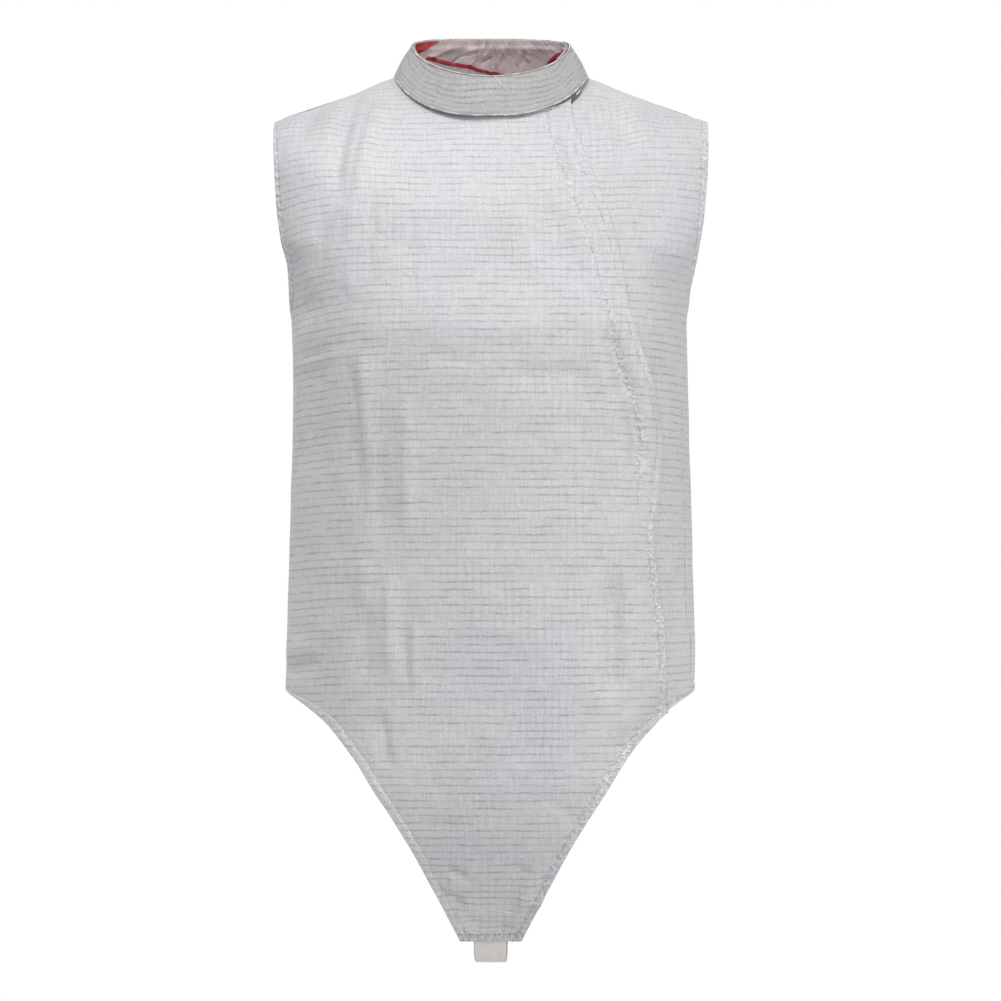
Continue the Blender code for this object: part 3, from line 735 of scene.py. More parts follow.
def lame(name, ground, cool, warm, pitch=WEFT_PITCH, mottle=1.0):
    """Silver-plated weave: pale satin ground, dark broken wefts, faint warps and soft patches.

    On a panel u runs to the wearer's left from the middle, and v runs up from the hem. Where the
    mesh says that it is worked, it is puckered, with painted light and shade on the puckers and
    painted highlight specks, a little paler, but darker at the point.
    """
    finish = Finish(name)
    u, v = finish.cloth_measure()

    def times(first, second):
        return finish.sum("MULTIPLY", first, second)

    def patches(rows, per_u, per_row, detail, pattern, low, high, least=0.0, most=1.0):
        """A random pattern along the weft and across rows, from least to most."""
        cloud = finish.cloud(u, rows, per_u, per_row, detail, pattern)
        return finish.between(cloud, low, high, least, most)

    # Wefts: dark broken lines that wander a little, with fainter ones half way between
    wander = finish.add_up(v, (finish.cloud(u, v, 22, 40), 0.0024),
                           (finish.cloud(u, v, 90, 34, z=3.0), 0.0015),
                           (finish.cloud(u, v, 260, 90, z=4.0), 0.0006))
    turns = finish.sum("DIVIDE", wander, pitch)
    row = finish.sum("ROUND", turns)
    away = times(finish.sum("ABSOLUTE", finish.sum("SUBTRACT", turns, row)), pitch)
    half_way = finish.sum("SUBTRACT", pitch / 2, away)
    worked = finish.node("ShaderNodeAttribute", attribute_name="worked")["Fac"]

    strength = times(patches(row, 38, 3.1, 2.0, 0.0, 0.34, 0.64, 0.28, 1.08),
                     finish.add_up(1.0, (worked, -0.5)))
    dashes = patches(row, 240, 5.7, 1.0, 0.0, 0.34, 0.60, 0.60, 1.0)
    weft = times(finish.between(away, 0.0001, 0.0015, 1.0, 0.0), times(strength, dashes))
    faint = patches(row, 120, 9.3, 2.0, 5.0, 0.45, 0.65)
    second = times(finish.between(half_way, 0.0001, 0.0009, 1.0, 0.0), faint)

    # Warps, clear in some patches only and at the point, the grain of the plating, and painted
    # glints: highlight specks in the colour
    drift = finish.add_up(u, (finish.cloud(u, v, 26, 16, z=6.0), 0.0040))
    column = finish.sum("DIVIDE", drift, WARP_PITCH)
    aside = finish.sum("ABSOLUTE", finish.sum("SUBTRACT", column, finish.sum("ROUND", column)))
    at_tip = finish.between(v, -0.22, -0.13, 0.20, 0.0)
    patch = finish.between(finish.sum("ADD", finish.cloud(u, v, 9, 7, 2.0, 9.0), at_tip),
                           0.48, 0.66)
    warp_line = times(finish.between(aside, 0.0, 0.3, 1.0, -0.5), patch)
    warp = patches(v, 420, 50, 1.0, 7.0, 0.32, 0.68, -1.0)
    grain = patches(v, 760, 620, 1.0, 11.0, 0.3, 0.7, -1.0)
    painted_glint = patches(v, 520, 430, 0.0, 13.0, 0.66, 0.78)
    slow = patches(v, 13, 9, 2.0, 15.0, 0.32, 0.68, -1.0)
    # Puckers where the cloth is worked: relief, and painted light and shade in the colour
    puckers_with_painted_shade = times(worked, patches(v, 230, 260, 1.0, 25.0, 0.34, 0.66, -1.0))
    # Painted highlights: bright specks on worked hems
    hem_glint_painted = patches(v, 330, 330, 0.0, 27.0, 0.66, 0.76)

    # Large areas: painted shade on the middle below the hem, which is also more lilac, and painted
    # light on the hips
    low = times(finish.between(v, 0.02, 0.12, 0.26, 0.0), finish.between(v, -0.19, -0.13, 0.2, 1.0))
    middle = finish.between(finish.sum("ABSOLUTE", finish.sum("SUBTRACT", u, 0.012)),
                            0.045, 0.085, 1.0, 0.0)
    hip = times(finish.between(finish.sum("ABSOLUTE", u), 0.14, 0.20),
                finish.between(v, 0.04, 0.15, 1.0, 0.0))

    # What each part adds to the shade, as a share of the ground's brightness
    shade = finish.add_up(
        1.01,
        (weft, finish.between(v, 0.30, 0.42, -0.265, -0.205)),
        (second, -0.03),
        (warp_line, -0.038),
        (warp, 0.035),
        (grain, 0.052 * mottle),
        # Painted highlights: glint specks of the plating
        (painted_glint, 0.14 * mottle),
        (slow, 0.020 * mottle),
        (worked, finish.add_up(0.02, (at_tip, -0.45))),
        # Painted light and shade of the puckers
        (puckers_with_painted_shade, 0.10),
        # Painted highlights on worked hems
        (times(worked, hem_glint_painted), 0.20),
        # Painted shade on the middle below the hem
        (times(low, middle), -0.13),
        # Painted light on the hips
        (hip, 0.07))

    lilac = finish.add_up(finish.between(v, 0.25, 0.42, -0.16, 0.07), (low, middle))
    tint = finish.between(finish.sum("ADD", finish.cloud(u, v, 14, 15, 2.0, 17.0), lilac),
                          0.50, 0.62)
    blush = patches(v, 16, 19, 2.0, 19.0, 0.62, 0.76, 0.0, 0.5)
    colour = finish.mix(blush, finish.mix(tint, (*ground, 1), (*cool, 1)), (*warm, 1))

    # What each part adds to the relief, in metres
    height = finish.add_up(
        0.0,
        (weft, -0.00010),
        (warp, 0.00003),
        (grain, 0.00002),
        (finish.cloud(u, v, 30, 55, 2.0, 21.0), 0.0014),
        (finish.cloud(u, v, 150, 190, 1.0, 23.0), 0.00030 * mottle),
        (puckers_with_painted_shade, 0.00045))
    finish.surface["Metallic"].default_value = 0.20
    finish.surface["Specular IOR Level"].default_value = 0.3
    return finish.dress(colour, shade, finish.add_up(0.66, (weft, 0.1)), height)


def thread_finish(name, colour, shaded):
    """Polyester sewing thread, here and there mixed to its shaded colour: painted shade where it
    sinks into the cloth.
    """
    finish = Finish(name)
    place = finish.node("ShaderNodeTexCoord")["Object"]

    def patches(scale):
        noise = {"Vector": place, "Scale": scale, "Detail": 1.0}
        return finish.node("ShaderNodeTexNoise", noise)["Fac"]

    stretch = finish.between(patches(110.0), 0.42, 0.58)
    twist = finish.between(patches(1400.0), 0.35, 0.65)
    return finish.dress(finish.mix(stretch, (*shaded, 1), (*colour, 1)),
                        finish.add_up(0.78, (twist, 0.25)), 0.6)


def stitch_tree():
    """Geometry nodes that lay short stitches along lines."""
    tree = bpy.data.node_groups.new("stitches", "GeometryNodeTree")
    face = tree.interface
    face.new_socket("Lines", in_out="INPUT", socket_type="NodeSocketGeometry")
    for name in ("Stitch length", "Gap", "Thread", "Unevenness"):
        face.new_socket(name, in_out="INPUT", socket_type="NodeSocketFloat")
    face.new_socket("Finish", in_out="INPUT", socket_type="NodeSocketMaterial")
    face.new_socket("Stitches", in_out="OUTPUT", socket_type="NodeSocketGeometry")

    def add(kind, inputs=None, **settings):
        return node(tree, kind, inputs, **settings)[0]

    def times(first, second):
        return add("ShaderNodeMath", {0: first, 1: second}, operation="MULTIPLY")

    given = node(tree, "NodeGroupInput")
    length, thickness, uneven = given["Stitch length"], given["Thread"], given["Unevenness"]
    pitch = add("ShaderNodeMath", {0: length, 1: given["Gap"]}, operation="ADD")
    curve = add("GeometryNodeMeshToCurve", {"Mesh": given["Lines"]})
    even = add("GeometryNodeResampleCurve", {"Curve": curve, "Length": pitch}, mode="LENGTH")
    jitter = add("FunctionNodeRandomValue", {0: times(uneven, -1.0), 1: uneven, "Seed": 5},
                 data_type="FLOAT_VECTOR")
    moved = add("GeometryNodeSetPosition", {"Geometry": even, "Offset": jitter})
    bead = add("GeometryNodeMeshUVSphere", {"Segments": 8, "Rings": 4, "Radius": 0.5})
    turn = add("FunctionNodeAlignRotationToVector", {"Vector": add("GeometryNodeInputTangent")},
               axis="X")
    share = node(tree, "FunctionNodeRandomValue", {2: 0.80, 3: 1.08, "Seed": 9},
                 data_type="FLOAT")[1]
    size = add("ShaderNodeCombineXYZ", {0: times(length, share), 1: thickness, 2: thickness})
    laid = add("GeometryNodeInstanceOnPoints",
               {"Points": moved, "Instance": bead, "Rotation": turn, "Scale": size})
    real = add("GeometryNodeRealizeInstances", {0: laid})
    smooth = add("GeometryNodeSetShadeSmooth", {0: real})
    dyed = add("GeometryNodeSetMaterial", {"Geometry": smooth, "Material": given["Finish"]})
    node(tree, "NodeGroupOutput", {0: dyed})
    return tree


stitches = stitch_tree()


def sew(name, lines, finish, length=0.0024, gap=0.0010, thread=0.0005, unevenness=0.00006):
    """Stitches along lines of points, as one plain mesh."""
    points, edges = [], []
    for line in lines:
        start = len(points)
        points += [tuple(p) for p in line]
        edges += [(start + i, start + i + 1) for i in range(len(line) - 1)]
    guide = bpy.data.meshes.new(name + "_guide")
    guide.from_pydata(points, edges, [])
    source = show(name + "_guide", guide)
    modifier = source.modifiers.new("stitches", "NODES")
    modifier.node_group = stitches
    given = {"Stitch length": length, "Gap": gap, "Thread": thread, "Unevenness": unevenness,
             "Finish": finish}
    for item in stitches.interface.items_tree:
        if item.in_out == "INPUT" and item.name in given:
            modifier[item.identifier] = given[item.name]
    bpy.context.view_layer.update()
    ready = source.evaluated_get(bpy.context.evaluated_depsgraph_get())
    mesh = bpy.data.meshes.new_from_object(ready)
    mesh.name = name
    bpy.data.objects.remove(source)
    return show(name, mesh)


def panel(name, turn, height, facing, relief, finish, worked):
    """A panel's sheet on the creased skin, and the points of its outer face."""
    outer = stand_off(skin(turn, height, relief), facing)
    inner = stand_off(skin(turn, height, relief - CLOTH), facing)
    measure = weave_measure(turn, height, facing)
    return cloth_shell(name, outer, inner, measure, finish, worked), outer


thread = thread_finish("grey_thread", (0.66, 0.66, 0.66), (0.25, 0.25, 0.26))
SILVER = (0.602, 0.602, 0.602)
LILAC_SILVER = (0.598, 0.596, 0.634)
BLUSH_SILVER = (0.626, 0.603, 0.594)

BODY_ROWS = 76
TOP_ROWS = 56
BACK_COLUMNS = 84
BACK_NECK_SHARE = 0.28
HEM_DIP_REACH = 0.12

back_heights = np.concatenate([
    HEM + HEM_LINES, spread(HEM + HEM_LINES[-1], BODY_ROWS, UNDERARM)[1:-1], top_rows(TOP_ROWS)])
back_left = (outer_bearing(back_heights, 1, 1), back_heights)
back_right = (outer_bearing(back_heights, -1, 1) + 2 * np.pi, back_heights)
back_across = grid_shares(back_left, back_right, HEM_LINES, HEM_LINES, BACK_COLUMNS)
top_share = back_across[-1]
half_share = np.minimum(top_share, top_share[::-1])
back_top = top_edge(half_share, BACK_NECK_SHARE, 1, 0.5, 0) * np.sign(0.5 - top_share)
turn, height = panel_grid(back_left, back_right, back_across, back_top, 1)
dip = BACK_HEM_DIP * np.sin(np.pi * back_across)**2
height = height - dip * (1 - smooth_step(HEM, HEM + HEM_DIP_REACH, height))
rows, columns = turn.shape
at_arm = at_armhole(back_heights)


def back_hems(measure):
    """A measure by distance from the edge, taken along the armholes and the foot."""
    side = measure(from_edge(HEM_LINES, columns, rows)) * at_arm
    foot = measure(from_edge(HEM_LINES, rows, columns).T)
    return np.where(at_arm > 0.5, side + side[:, ::-1], foot)


back, back_outer = panel("back_panel", turn, height, 1, back_hems(hem_relief),
                         lame("lame_back", SILVER, LILAC_SILVER, BLUSH_SILVER),
                         back_hems(hem_worked))
arm_rows = back_heights > UNDERARM
back_thread = sew("back_stitches", [
    back_outer[arm_rows, HEM_STITCH_LINE],
    back_outer[arm_rows, -1 - HEM_STITCH_LINE],
    back_outer[HEM_STITCH_LINE, 1:-1],
], thread)
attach(back, "root")
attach(back_thread, "root")
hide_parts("back")

# ---------------------------------------------------------------------------------------------
# Narrow front on the wearer's left, of the same weave: from the shoulder to the hip, and in
# under the flap, where the closure holds it. Its armhole and leg edge are turned in and
# topstitched, and its neckline hangs a little below the collar.

LEG_EDGE = table(
    Edge,
    (HEM, 0.1841), (-0.5560, 0.1762), (-0.5640, 0.1624), (-0.5770, 0.1452), (-0.5930, 0.1308),
    (-0.6110, 0.1170), (-0.6350, 0.1018), (-0.6610, 0.0852), (-0.6900, 0.0678), (-0.7200, 0.0524),
    (-0.7500, 0.0376), (TIP, 0.0270))
FLAP_EDGE = table(
    Edge,
    (-0.0050, 0.0665), (-0.0300, 0.0708), (-0.0505, 0.0722), (-0.0895, 0.0838), (-0.1260, 0.0982),
    (-0.1660, 0.1106), (-0.2185, 0.1207), (-0.2680, 0.1338), (-0.3000, 0.1426), (-0.3300, 0.1471),
    (-0.3750, 0.1446), (-0.4190, 0.1413), (-0.4865, 0.1479), (-0.5345, 0.1506), (-0.5520, 0.1526),
    (FLAP_FOOT, 0.1548))
FLAP_TOP = 0.0708
FLAP_UNDERLAP = 0.022
NECK_SAG = 0.008

front_creases += table(
    Crease,
    (-115.1, -6.6, -135.5, -121.3, 6.5, -3.6, 0.35, -4),
    (-95.9, -14.2, -117.6, -135.3, 7, 2.6, -0.3, -4),
    (-151.1, -21.7, -172.8, -66.3, 7, -2.2, 0.2),
    (-131.3, -20.1, -149.3, -65.4, 7, 1.4),
    (-69.6, -55.8, -68, -241.6, 3.2, -0.7),
    (-104.2, -90.2, -103.8, -210.5, 4.5, -0.9),
    (-121.8, -94.5, -122.2, -236.2, 6, 1),
    (-140.6, -147.8, -126.8, -209.8, 10, 1.2),
    (-183.7, -155.7, -145, -154.7, 13, 3.4, -0.3),
    (-165.9, -142.2, -162.6, -223.6, 8, 2.8, -0.2),
    (-182, -152, -155, -231.2, 11, -4.2, 0.1),
    (-188.1, -538.3, -147.8, -520, 6, -3.6),
    (-153.1, -234.8, -153.3, -383.6, 17, -5.4, 0.15),
    (-111.6, -248.6, -108.3, -357.6, 6, 4.8, -0.45),
    (-119.6, -260.5, -118.8, -309, 4, -3, 0.3),
    (-118, -288, -113, -405, 7.5, -2.4, 0.2),
    (-180.9, -266.6, -115.1, -252.8, 3.6, 2.2),
    (-179.1, -259.4, -116.9, -245.9, 4, -1.6, 0.2),
    (-128.7, -195.8, -124.1, -215.2, 3.5, -1.6),
    (-74.1, -280.2, -73.4, -426.7, 5.5, 2.6, -0.3),
    (-96.7, -290.3, -95.2, -435.5, 8, -2.4, -0.2),
    (-140.4, -357.4, -129.7, -444.5, 14, -2),
    (-108.4, -431.3, -113.7, -474.7, 7, 2),
    (-87.3, -439.8, -89, -548, 6, 3.4, -0.25),
    (-108.4, -470.3, -110.1, -548, 9, -2.8),
    (-66.5, -480.3, -66.6, -548, 4.5, 1.8, -0.25),
    (-74.3, -483.8, -72.9, -548, 4.5, -2.2),
    (-96.2, -560.4, -87.2, -620, 5.5, -2.8, 0.3),
    (-186.3, -516.8, -144.2, -516.4, 8, 2.2, -0.3),
    (-172.5, -472, -140.5, -505.8, 10, 1.2),
    (-74.4, -560.9, 25, -559.6, 3, -0.3, -0.2),
    (-18.1, -497.4, 31.9, -498.3, 3.5, 1, 0, 2),
    (-43.8, -240.1, 59.3, -241.7, 6, 0.5, -0.3),
    (-55.9, -259.8, -6, -263.4, 6, -1.4, -0.2),
    (7.7, -274.5, 99.3, -273.9, 9, -2.8, 0.2),
    (46.4, -314.8, 94.1, -321.4, 6, -0.7),
    (35.7, -100.2, 95.9, -215.1, 14, -2.8, 0.2, -3),
    (16.6, -91.1, 59.4, -211.3, 12, 1, 0, -3),
    (-0.9, -136.5, 35.3, -220.2, 10, -1.2),
    (62.6, -54.1, 79.4, -106.2, 4.5, -3.2, 0.3),
    (77.5, -113.5, 108.2, -210.4, 4.5, -1.2, 0.3),
    (101.1, -226.3, 124.1, -303.7, 6.5, -6, 0.4),
    (120.5, -288.2, 132.3, -361.8, 5.5, -4.8, 0.35),
    (131.2, -248.9, 140.4, -348.7, 7, 1.6),
    (129.8, -153.5, 179.2, -173.5, 13, 4.2, -0.3),
    (143, -252.8, 151.4, -335.4, 7, -4.6),
    (102.8, -8.4, 122, -83.3, 6, -3, 0.3, 2),
    (118.7, -4.8, 139.9, -80, 6, 2, 0, 2),
    (88.5, -19, 101.5, -57, 5, -1.4),
    (148.4, -16.2, 160, -69.8, 6, -1.8),
    (130.6, -94.2, 138.8, -146.1, 8, -1.4),
    (109.3, -432.1, 108.5, -567.6, 6, -5.2, 0.35),
    (162.7, -547.1, 135.2, -577.2, 6, -3, -0.3),
    (151.5, -462.4, 140.6, -568.7, 12, 2.4),
    (127.9, -448.8, 129.8, -557.8, 8, 1.8),
    (160.8, -436.3, 162.7, -506.7, 5, -1.8),
    (7.8, -566.5, 35.4, -616.8, 14, -1.2),
    (81.3, -558.4, 129.8, -549, 7, 1.2),
    (107.6, -596.2, 81.4, -634.8, 9, 1),
    (129.8, -576.9, 87.5, -630.6, 8, -1.6),
    (40.6, -637.8, 87.8, -668.6, 5, -1.5),
    (-82.5, -666.7, -13, -664.1, 5, -1.2),
    (-40.9, -704, -18.3, -711.2, 3, -4),
    (-39.2, -714.1, -16.6, -718.6, 3, 2),
    (-49.8, -722.5, -20.1, -739.2, 4.2, -4),
    (14.8, -698.4, 37.5, -708.5, 3.4, -3.6),
    (21.9, -731.7, 49.9, -736.5, 6, 3.2),
    (-31.6, -754.3, 29.9, -760, 5, -4),
    (39.1, -698.5, 18.5, -771.4, 7, 1.8),
    (-122.7, -618.5, -84.1, -649, 8, 1),
    (-18.1, -586.4, 33.7, -586.5, 16, 1.6))

# The side seam's turnings are stitched down along this line
TURNINGS = table(
    Edge,
    (-0.3000, 0.1699), (-0.3650, 0.1697), (-0.3930, 0.1715), (-0.4720, 0.1722), (-0.4890, 0.1742),
    (-0.5030, 0.1772), (-0.5450, 0.1785))


def neck_sag(x):
    """How far the narrow front's neckline hangs below the rest, on the wearer's left."""
    return NECK_SAG * smooth_step(NECK_HALF_WIDTH, NECK_HALF_WIDTH - 0.009, x)


def leg_bearing(height, side):
    """Bearing of the leg edge below the side seam."""
    return bearing_of(side * read(LEG_EDGE, "half_width", height), height, -1)


def outline_bearing(height, side):
    """Bearing of a front's outer edge: the leg opening, the side seam and the armhole."""
    return np.where(height < HEM, leg_bearing(height, side), outer_bearing(height, side, -1))


def at_open_edge(heights):
    """1 in rows beside an armhole or a leg opening, and 0 along the side seam."""
    return np.maximum(at_armhole(heights), smooth_step(HEM + 0.001, HEM - 0.002, heights)[:, None])


def leg_rows(low, high, count):
    """Heights at even steps along the leg edge, without the first."""
    fine = np.linspace(low, high, 400)
    run = run_along(plain_skin(leg_bearing(fine, 1), fine))
    return np.interp(np.linspace(0, run[-1], count + 1)[1:], run, fine)


def flap_bearing(height, inset=0.0):
    """Bearing of the flap's edge, or of a line that lies inset from it."""
    return bearing_of(read(FLAP_EDGE, "half_width", height) - inset, height, -1)


TURNINGS_GROOVE = 0.0005
HIP_ROWS = 18
SIDE_COLUMNS = 22
SIDE_NECK_SHARE = 0.74
PLAIN_LINES = np.array([0.0, 0.8, 2.4, 5.0]) * MM

side_rows = np.concatenate([spread(HEM, BODY_ROWS, UNDERARM)[1:-1], top_rows(TOP_ROWS)])
flap_heights = np.concatenate([spread(FLAP_FOOT, HIP_ROWS, HEM), side_rows])
side_heights = np.concatenate([[FLAP_FOOT], leg_rows(FLAP_FOOT, HEM, HIP_ROWS), side_rows])
side_flap = (flap_bearing(flap_heights, FLAP_UNDERLAP), flap_heights)
side_seam = (outline_bearing(side_heights, 1), side_heights)
side_across = grid_shares(side_flap, side_seam, PLAIN_LINES, HEM_LINES, SIDE_COLUMNS)
side_top = top_edge(1 - side_across[-1], SIDE_NECK_SHARE, 1, 1, FLAP_TOP - FLAP_UNDERLAP)
turn, height = panel_grid(side_flap, side_seam, side_across, side_top, -1, neck_sag(side_top))
rows, columns = turn.shape
turned_in = at_open_edge(side_heights)
side_away = from_edge(HEM_LINES, columns, rows)[:, ::-1]
off_line = plain_skin(turn, height)[..., 0] - read(TURNINGS, "half_width", height)
on_line = (height < TURNINGS[0].height) & (height > TURNINGS[-1].height)
groove = TURNINGS_GROOVE * np.exp(-(off_line / 0.0010)**2) * on_line
by_line = np.exp(-(off_line / 0.0026)**2) * on_line
narrow_front, side_outer = panel(
    "narrow_front", turn, height, -1, hem_relief(side_away) * turned_in - groove,
    lame("lame_side", (0.600, 0.600, 0.596), (0.596, 0.594, 0.628), (0.624, 0.601, 0.592)),
    np.maximum(hem_worked(side_away) * turned_in, 0.8 * by_line))
line_heights = np.linspace(TURNINGS[0].height, TURNINGS[-1].height, 60)
line_turns = bearing_of(read(TURNINGS, "half_width", line_heights), line_heights, -1)
side_thread = sew("narrow_front_stitches", [
    side_outer[side_heights > UNDERARM, -1 - HEM_STITCH_LINE],
    side_outer[side_heights < HEM, -1 - HEM_STITCH_LINE],
    stand_off(skin(line_turns, line_heights, -0.0003), -1),
], thread)
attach(narrow_front, "root")
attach(side_thread, "root")
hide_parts("front_side")

# ---------------------------------------------------------------------------------------------
# Big front: the wearer's right side, the middle, the crotch point and the flap that closes over
# the narrow front, cut in one from the same weave. The flap stands off a little, with a line of
# stitching inside its edge.

FLAP_LIFT_ABOVE = 0.0018
FLAP_LIFT_BELOW = 0.0030
FLAP_LIFT_WIDTH = 0.030
FLAP_GAPE = 0.0035
FLAP_GAPE_AT = -0.290
FLAP_GAPE_REACH = 0.050
FLAP_GAPE_WIDTH = 0.024
FLAP_CLOSES = (-0.26, -0.18)
FLAP_SAG = 0.004
FLAP_SEAM = 0.0215
FLAP_LINES = np.append(HEM_LINES, np.array([17.0, 19.0, 20.3, 21.5, 22.7, 24.0, 27.0]) * MM)
FLAP_SEAM_LINE = 13
FLAP_SEAM_END = -0.395
FLAP_SEAM_GROOVE = 0.0002
FLAP_FLAT = 0.026
MAIN_BODY_ROWS = 80
POINT_ROWS = 54
MAIN_COLUMNS = 120
MAIN_NECK_SHARE = 0.44
POINT_TOP = -0.70
TACK_PROUD = 0.0002


def flap_sag(x):
    """How far the big front's neckline hangs below the collar towards the flap's corner."""
    return FLAP_SAG * smooth_step(0.5 * FLAP_TOP, FLAP_TOP, x)


def flap_lift(bearing, height):
    """How far the big front stands off the skin near its flap edge."""
    x = plain_skin(bearing, height)[..., 0]
    lap = read(FLAP_EDGE, "half_width", height) - x
    on_flap = smooth_step(FLAP_FOOT - 0.030, FLAP_FOOT - 0.002, height)
    gape = FLAP_GAPE * np.exp(-((height - FLAP_GAPE_AT) / FLAP_GAPE_REACH)**2)
    near = 1 - smooth_step(FLAP_FLAT, FLAP_FLAT + FLAP_LIFT_WIDTH, lap)
    closer = (FLAP_LIFT_ABOVE - FLAP_LIFT_BELOW) * smooth_step(*FLAP_CLOSES, height)
    gape = gape * (1 - smooth_step(0.0, FLAP_GAPE_WIDTH, lap))
    return (FLAP_LIFT_BELOW + closer + gape) * near * on_flap


main_rows = np.concatenate([spread(HEM, MAIN_BODY_ROWS, UNDERARM)[1:-1], top_rows(TOP_ROWS)])
point_rows = np.concatenate([
    TIP + HEM_LINES, spread(TIP + HEM_LINES[-1], POINT_ROWS, FLAP_FOOT - 0.0004)[1:], [FLAP_FOOT]])
main_heights = np.concatenate([point_rows, leg_rows(FLAP_FOOT, HEM, HIP_ROWS), main_rows])
edge_heights = np.concatenate([point_rows, spread(FLAP_FOOT, HIP_ROWS, HEM)[1:], main_rows])
main_side = (outline_bearing(main_heights, -1), main_heights)
main_flap = (np.where(edge_heights < FLAP_FOOT, leg_bearing(edge_heights, 1),
                      flap_bearing(edge_heights)), edge_heights)
main_across = grid_shares(main_side, main_flap, HEM_LINES, FLAP_LINES, MAIN_COLUMNS)
main_top = top_edge(main_across[-1], MAIN_NECK_SHARE, -1, 1, FLAP_TOP)
turn, height = panel_grid(main_side, main_flap, main_across, main_top, -1, flap_sag(main_top))
rows, columns = turn.shape
turned_in = at_open_edge(main_heights)
side_away = from_edge(HEM_LINES, columns, rows)
edge_away = side_away[:, ::-1]
foot_away = from_edge(HEM_LINES, rows, columns).T
flat_above = 1 - 0.7 * smooth_step(-0.30, -0.20, edge_heights)[:, None]
hem = (hem_relief(side_away) * turned_in + hem_relief(edge_away) * flat_above
       + hem_relief(foot_away))
seam_away = from_edge(FLAP_LINES, columns, rows)[:, ::-1] - FLAP_SEAM
on_flap = smooth_step(FLAP_SEAM_END, FLAP_SEAM_END + 0.03, edge_heights)[:, None]
hem = hem - on_flap * (FLAP_SEAM_GROOVE * np.exp(-(seam_away / 0.0011)**2))
on_leg = smooth_step(HEM + 0.004, HEM - 0.004, main_heights)[:, None]
worked = np.maximum.reduce([
    hem_worked(side_away) * turned_in * (1 - 0.6 * on_leg),
    hem_worked(edge_away) * (0.3 + 0.7 * smooth_step(0.36, 0.44, -edge_heights)[:, None]),
    hem_worked(foot_away),
    on_flap * np.exp(-(seam_away / 0.0036)**2) * 0.9,
])
big_front, main_outer = panel("big_front", turn, height, -1, flap_lift(turn, height) + hem,
                              lame("lame_front", SILVER, LILAC_SILVER, BLUSH_SILVER), worked)


def front_line(*corners):
    """Points on the big front along straight runs between corners of x and height."""
    along = np.linspace(0, len(corners) - 1, 20 * len(corners))
    x, z = (np.interp(along, range(len(corners)), places) for places in zip(*corners))
    at = bearing_of(x, z, -1)
    return stand_off(skin(at, z, flap_lift(at, z) + TACK_PROUD), -1)


pale_thread = thread_finish("pale_thread", (0.88, 0.87, 0.86), (0.66, 0.66, 0.66))
white_thread = thread_finish("white_thread", (0.94, 0.94, 0.93), (0.84, 0.84, 0.84))
tacks = sew("flap_and_tip_tacks", [
    front_line((-0.0149, -0.7429), (-0.0018, -0.7415), (0.0114, -0.7434), (0.0184, -0.7448)),
    front_line((-0.0246, -0.7640), (0.0053, -0.7640)),
    front_line((0.0070, -0.7628), (0.0140, -0.7690)),
    front_line((0.1512, -0.5400), (0.1542, -0.5520), (0.1570, -0.5620)),
    front_line((0.0734, -0.0965), (0.0865, -0.0960)),
    main_outer[-1, -20:-1],
    main_outer[(main_heights < HEM) & (main_heights > POINT_TOP), HEM_STITCH_LINE],
], white_thread, length=0.0026, gap=-0.0004, thread=0.0012, unevenness=0.0002)
main_thread = sew("big_front_stitches", [
    main_outer[main_heights > UNDERARM, HEM_STITCH_LINE],
    main_outer[main_heights < POINT_TOP, HEM_STITCH_LINE],
    main_outer[:, -1 - HEM_STITCH_LINE],
    main_outer[edge_heights > FLAP_SEAM_END, -1 - FLAP_SEAM_LINE],
    main_outer[HEM_STITCH_LINE, 5:-5],
], thread)
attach(big_front, "root")
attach(main_thread, "root")
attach(tacks, "root")
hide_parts("front_main")

# ---------------------------------------------------------------------------------------------
# Collar: one band of the same weave, folded at the rim. It stands on the neckline, leans in to
# a rim that rises to the back, and laps over its own start on the wearer's left.

BAND_FOOT = Loop(NECK_HALF_WIDTH + 0.0008, RIDGE_AT_NECK, 0.0919, 0.0423, 2.5, 2.4)
BAND_RIM = Loop(0.0716, 0.037, 0.095, 0.023, 1.85, 3.2)
BAND_LIFT_BACK = 0.0008
BAND_LIFT_FRONT = 0.0034
FOOT_GAPE = 0.0018
FOOT_GAPE_AT = math.radians(343)
FOOT_GAPE_REACH = math.radians(17)
FOOT_SAG = 0.0018
BAND_CROWN = 0.0024
RIM_FRONT_HEIGHT = -0.008
RIM_RISE = 0.409
BAND_START = math.radians(56)
BAND_END = math.radians(360 + 102)
PAST_FLAP = math.radians(360 + 53)
NECK_POINT = math.radians(360 + 90)
LAP_CLEAR = math.radians(106)
LAP_MERGED = math.radians(140)
WALL = 0.0015
BAND_CLOTH = 0.0014
LAP_IN = WALL + 0.0009
RIM_ROLL = 0.0004
BAND_WEAVE_UP = 0.92


def loop_point(loop, turn):
    """x and y of a ring round the neck at an angle from its front."""
    reach = ring_reach(turn, *loop_sizes(loop, np.cos(turn) > 0))
    return reach * np.sin(turn), loop.middle - reach * np.cos(turn)


def shrunk(loop, inside):
    """The same ring, moved in all round."""
    return loop._replace(half_width=loop.half_width - inside, front=loop.front - inside,
                         back=loop.back - inside)


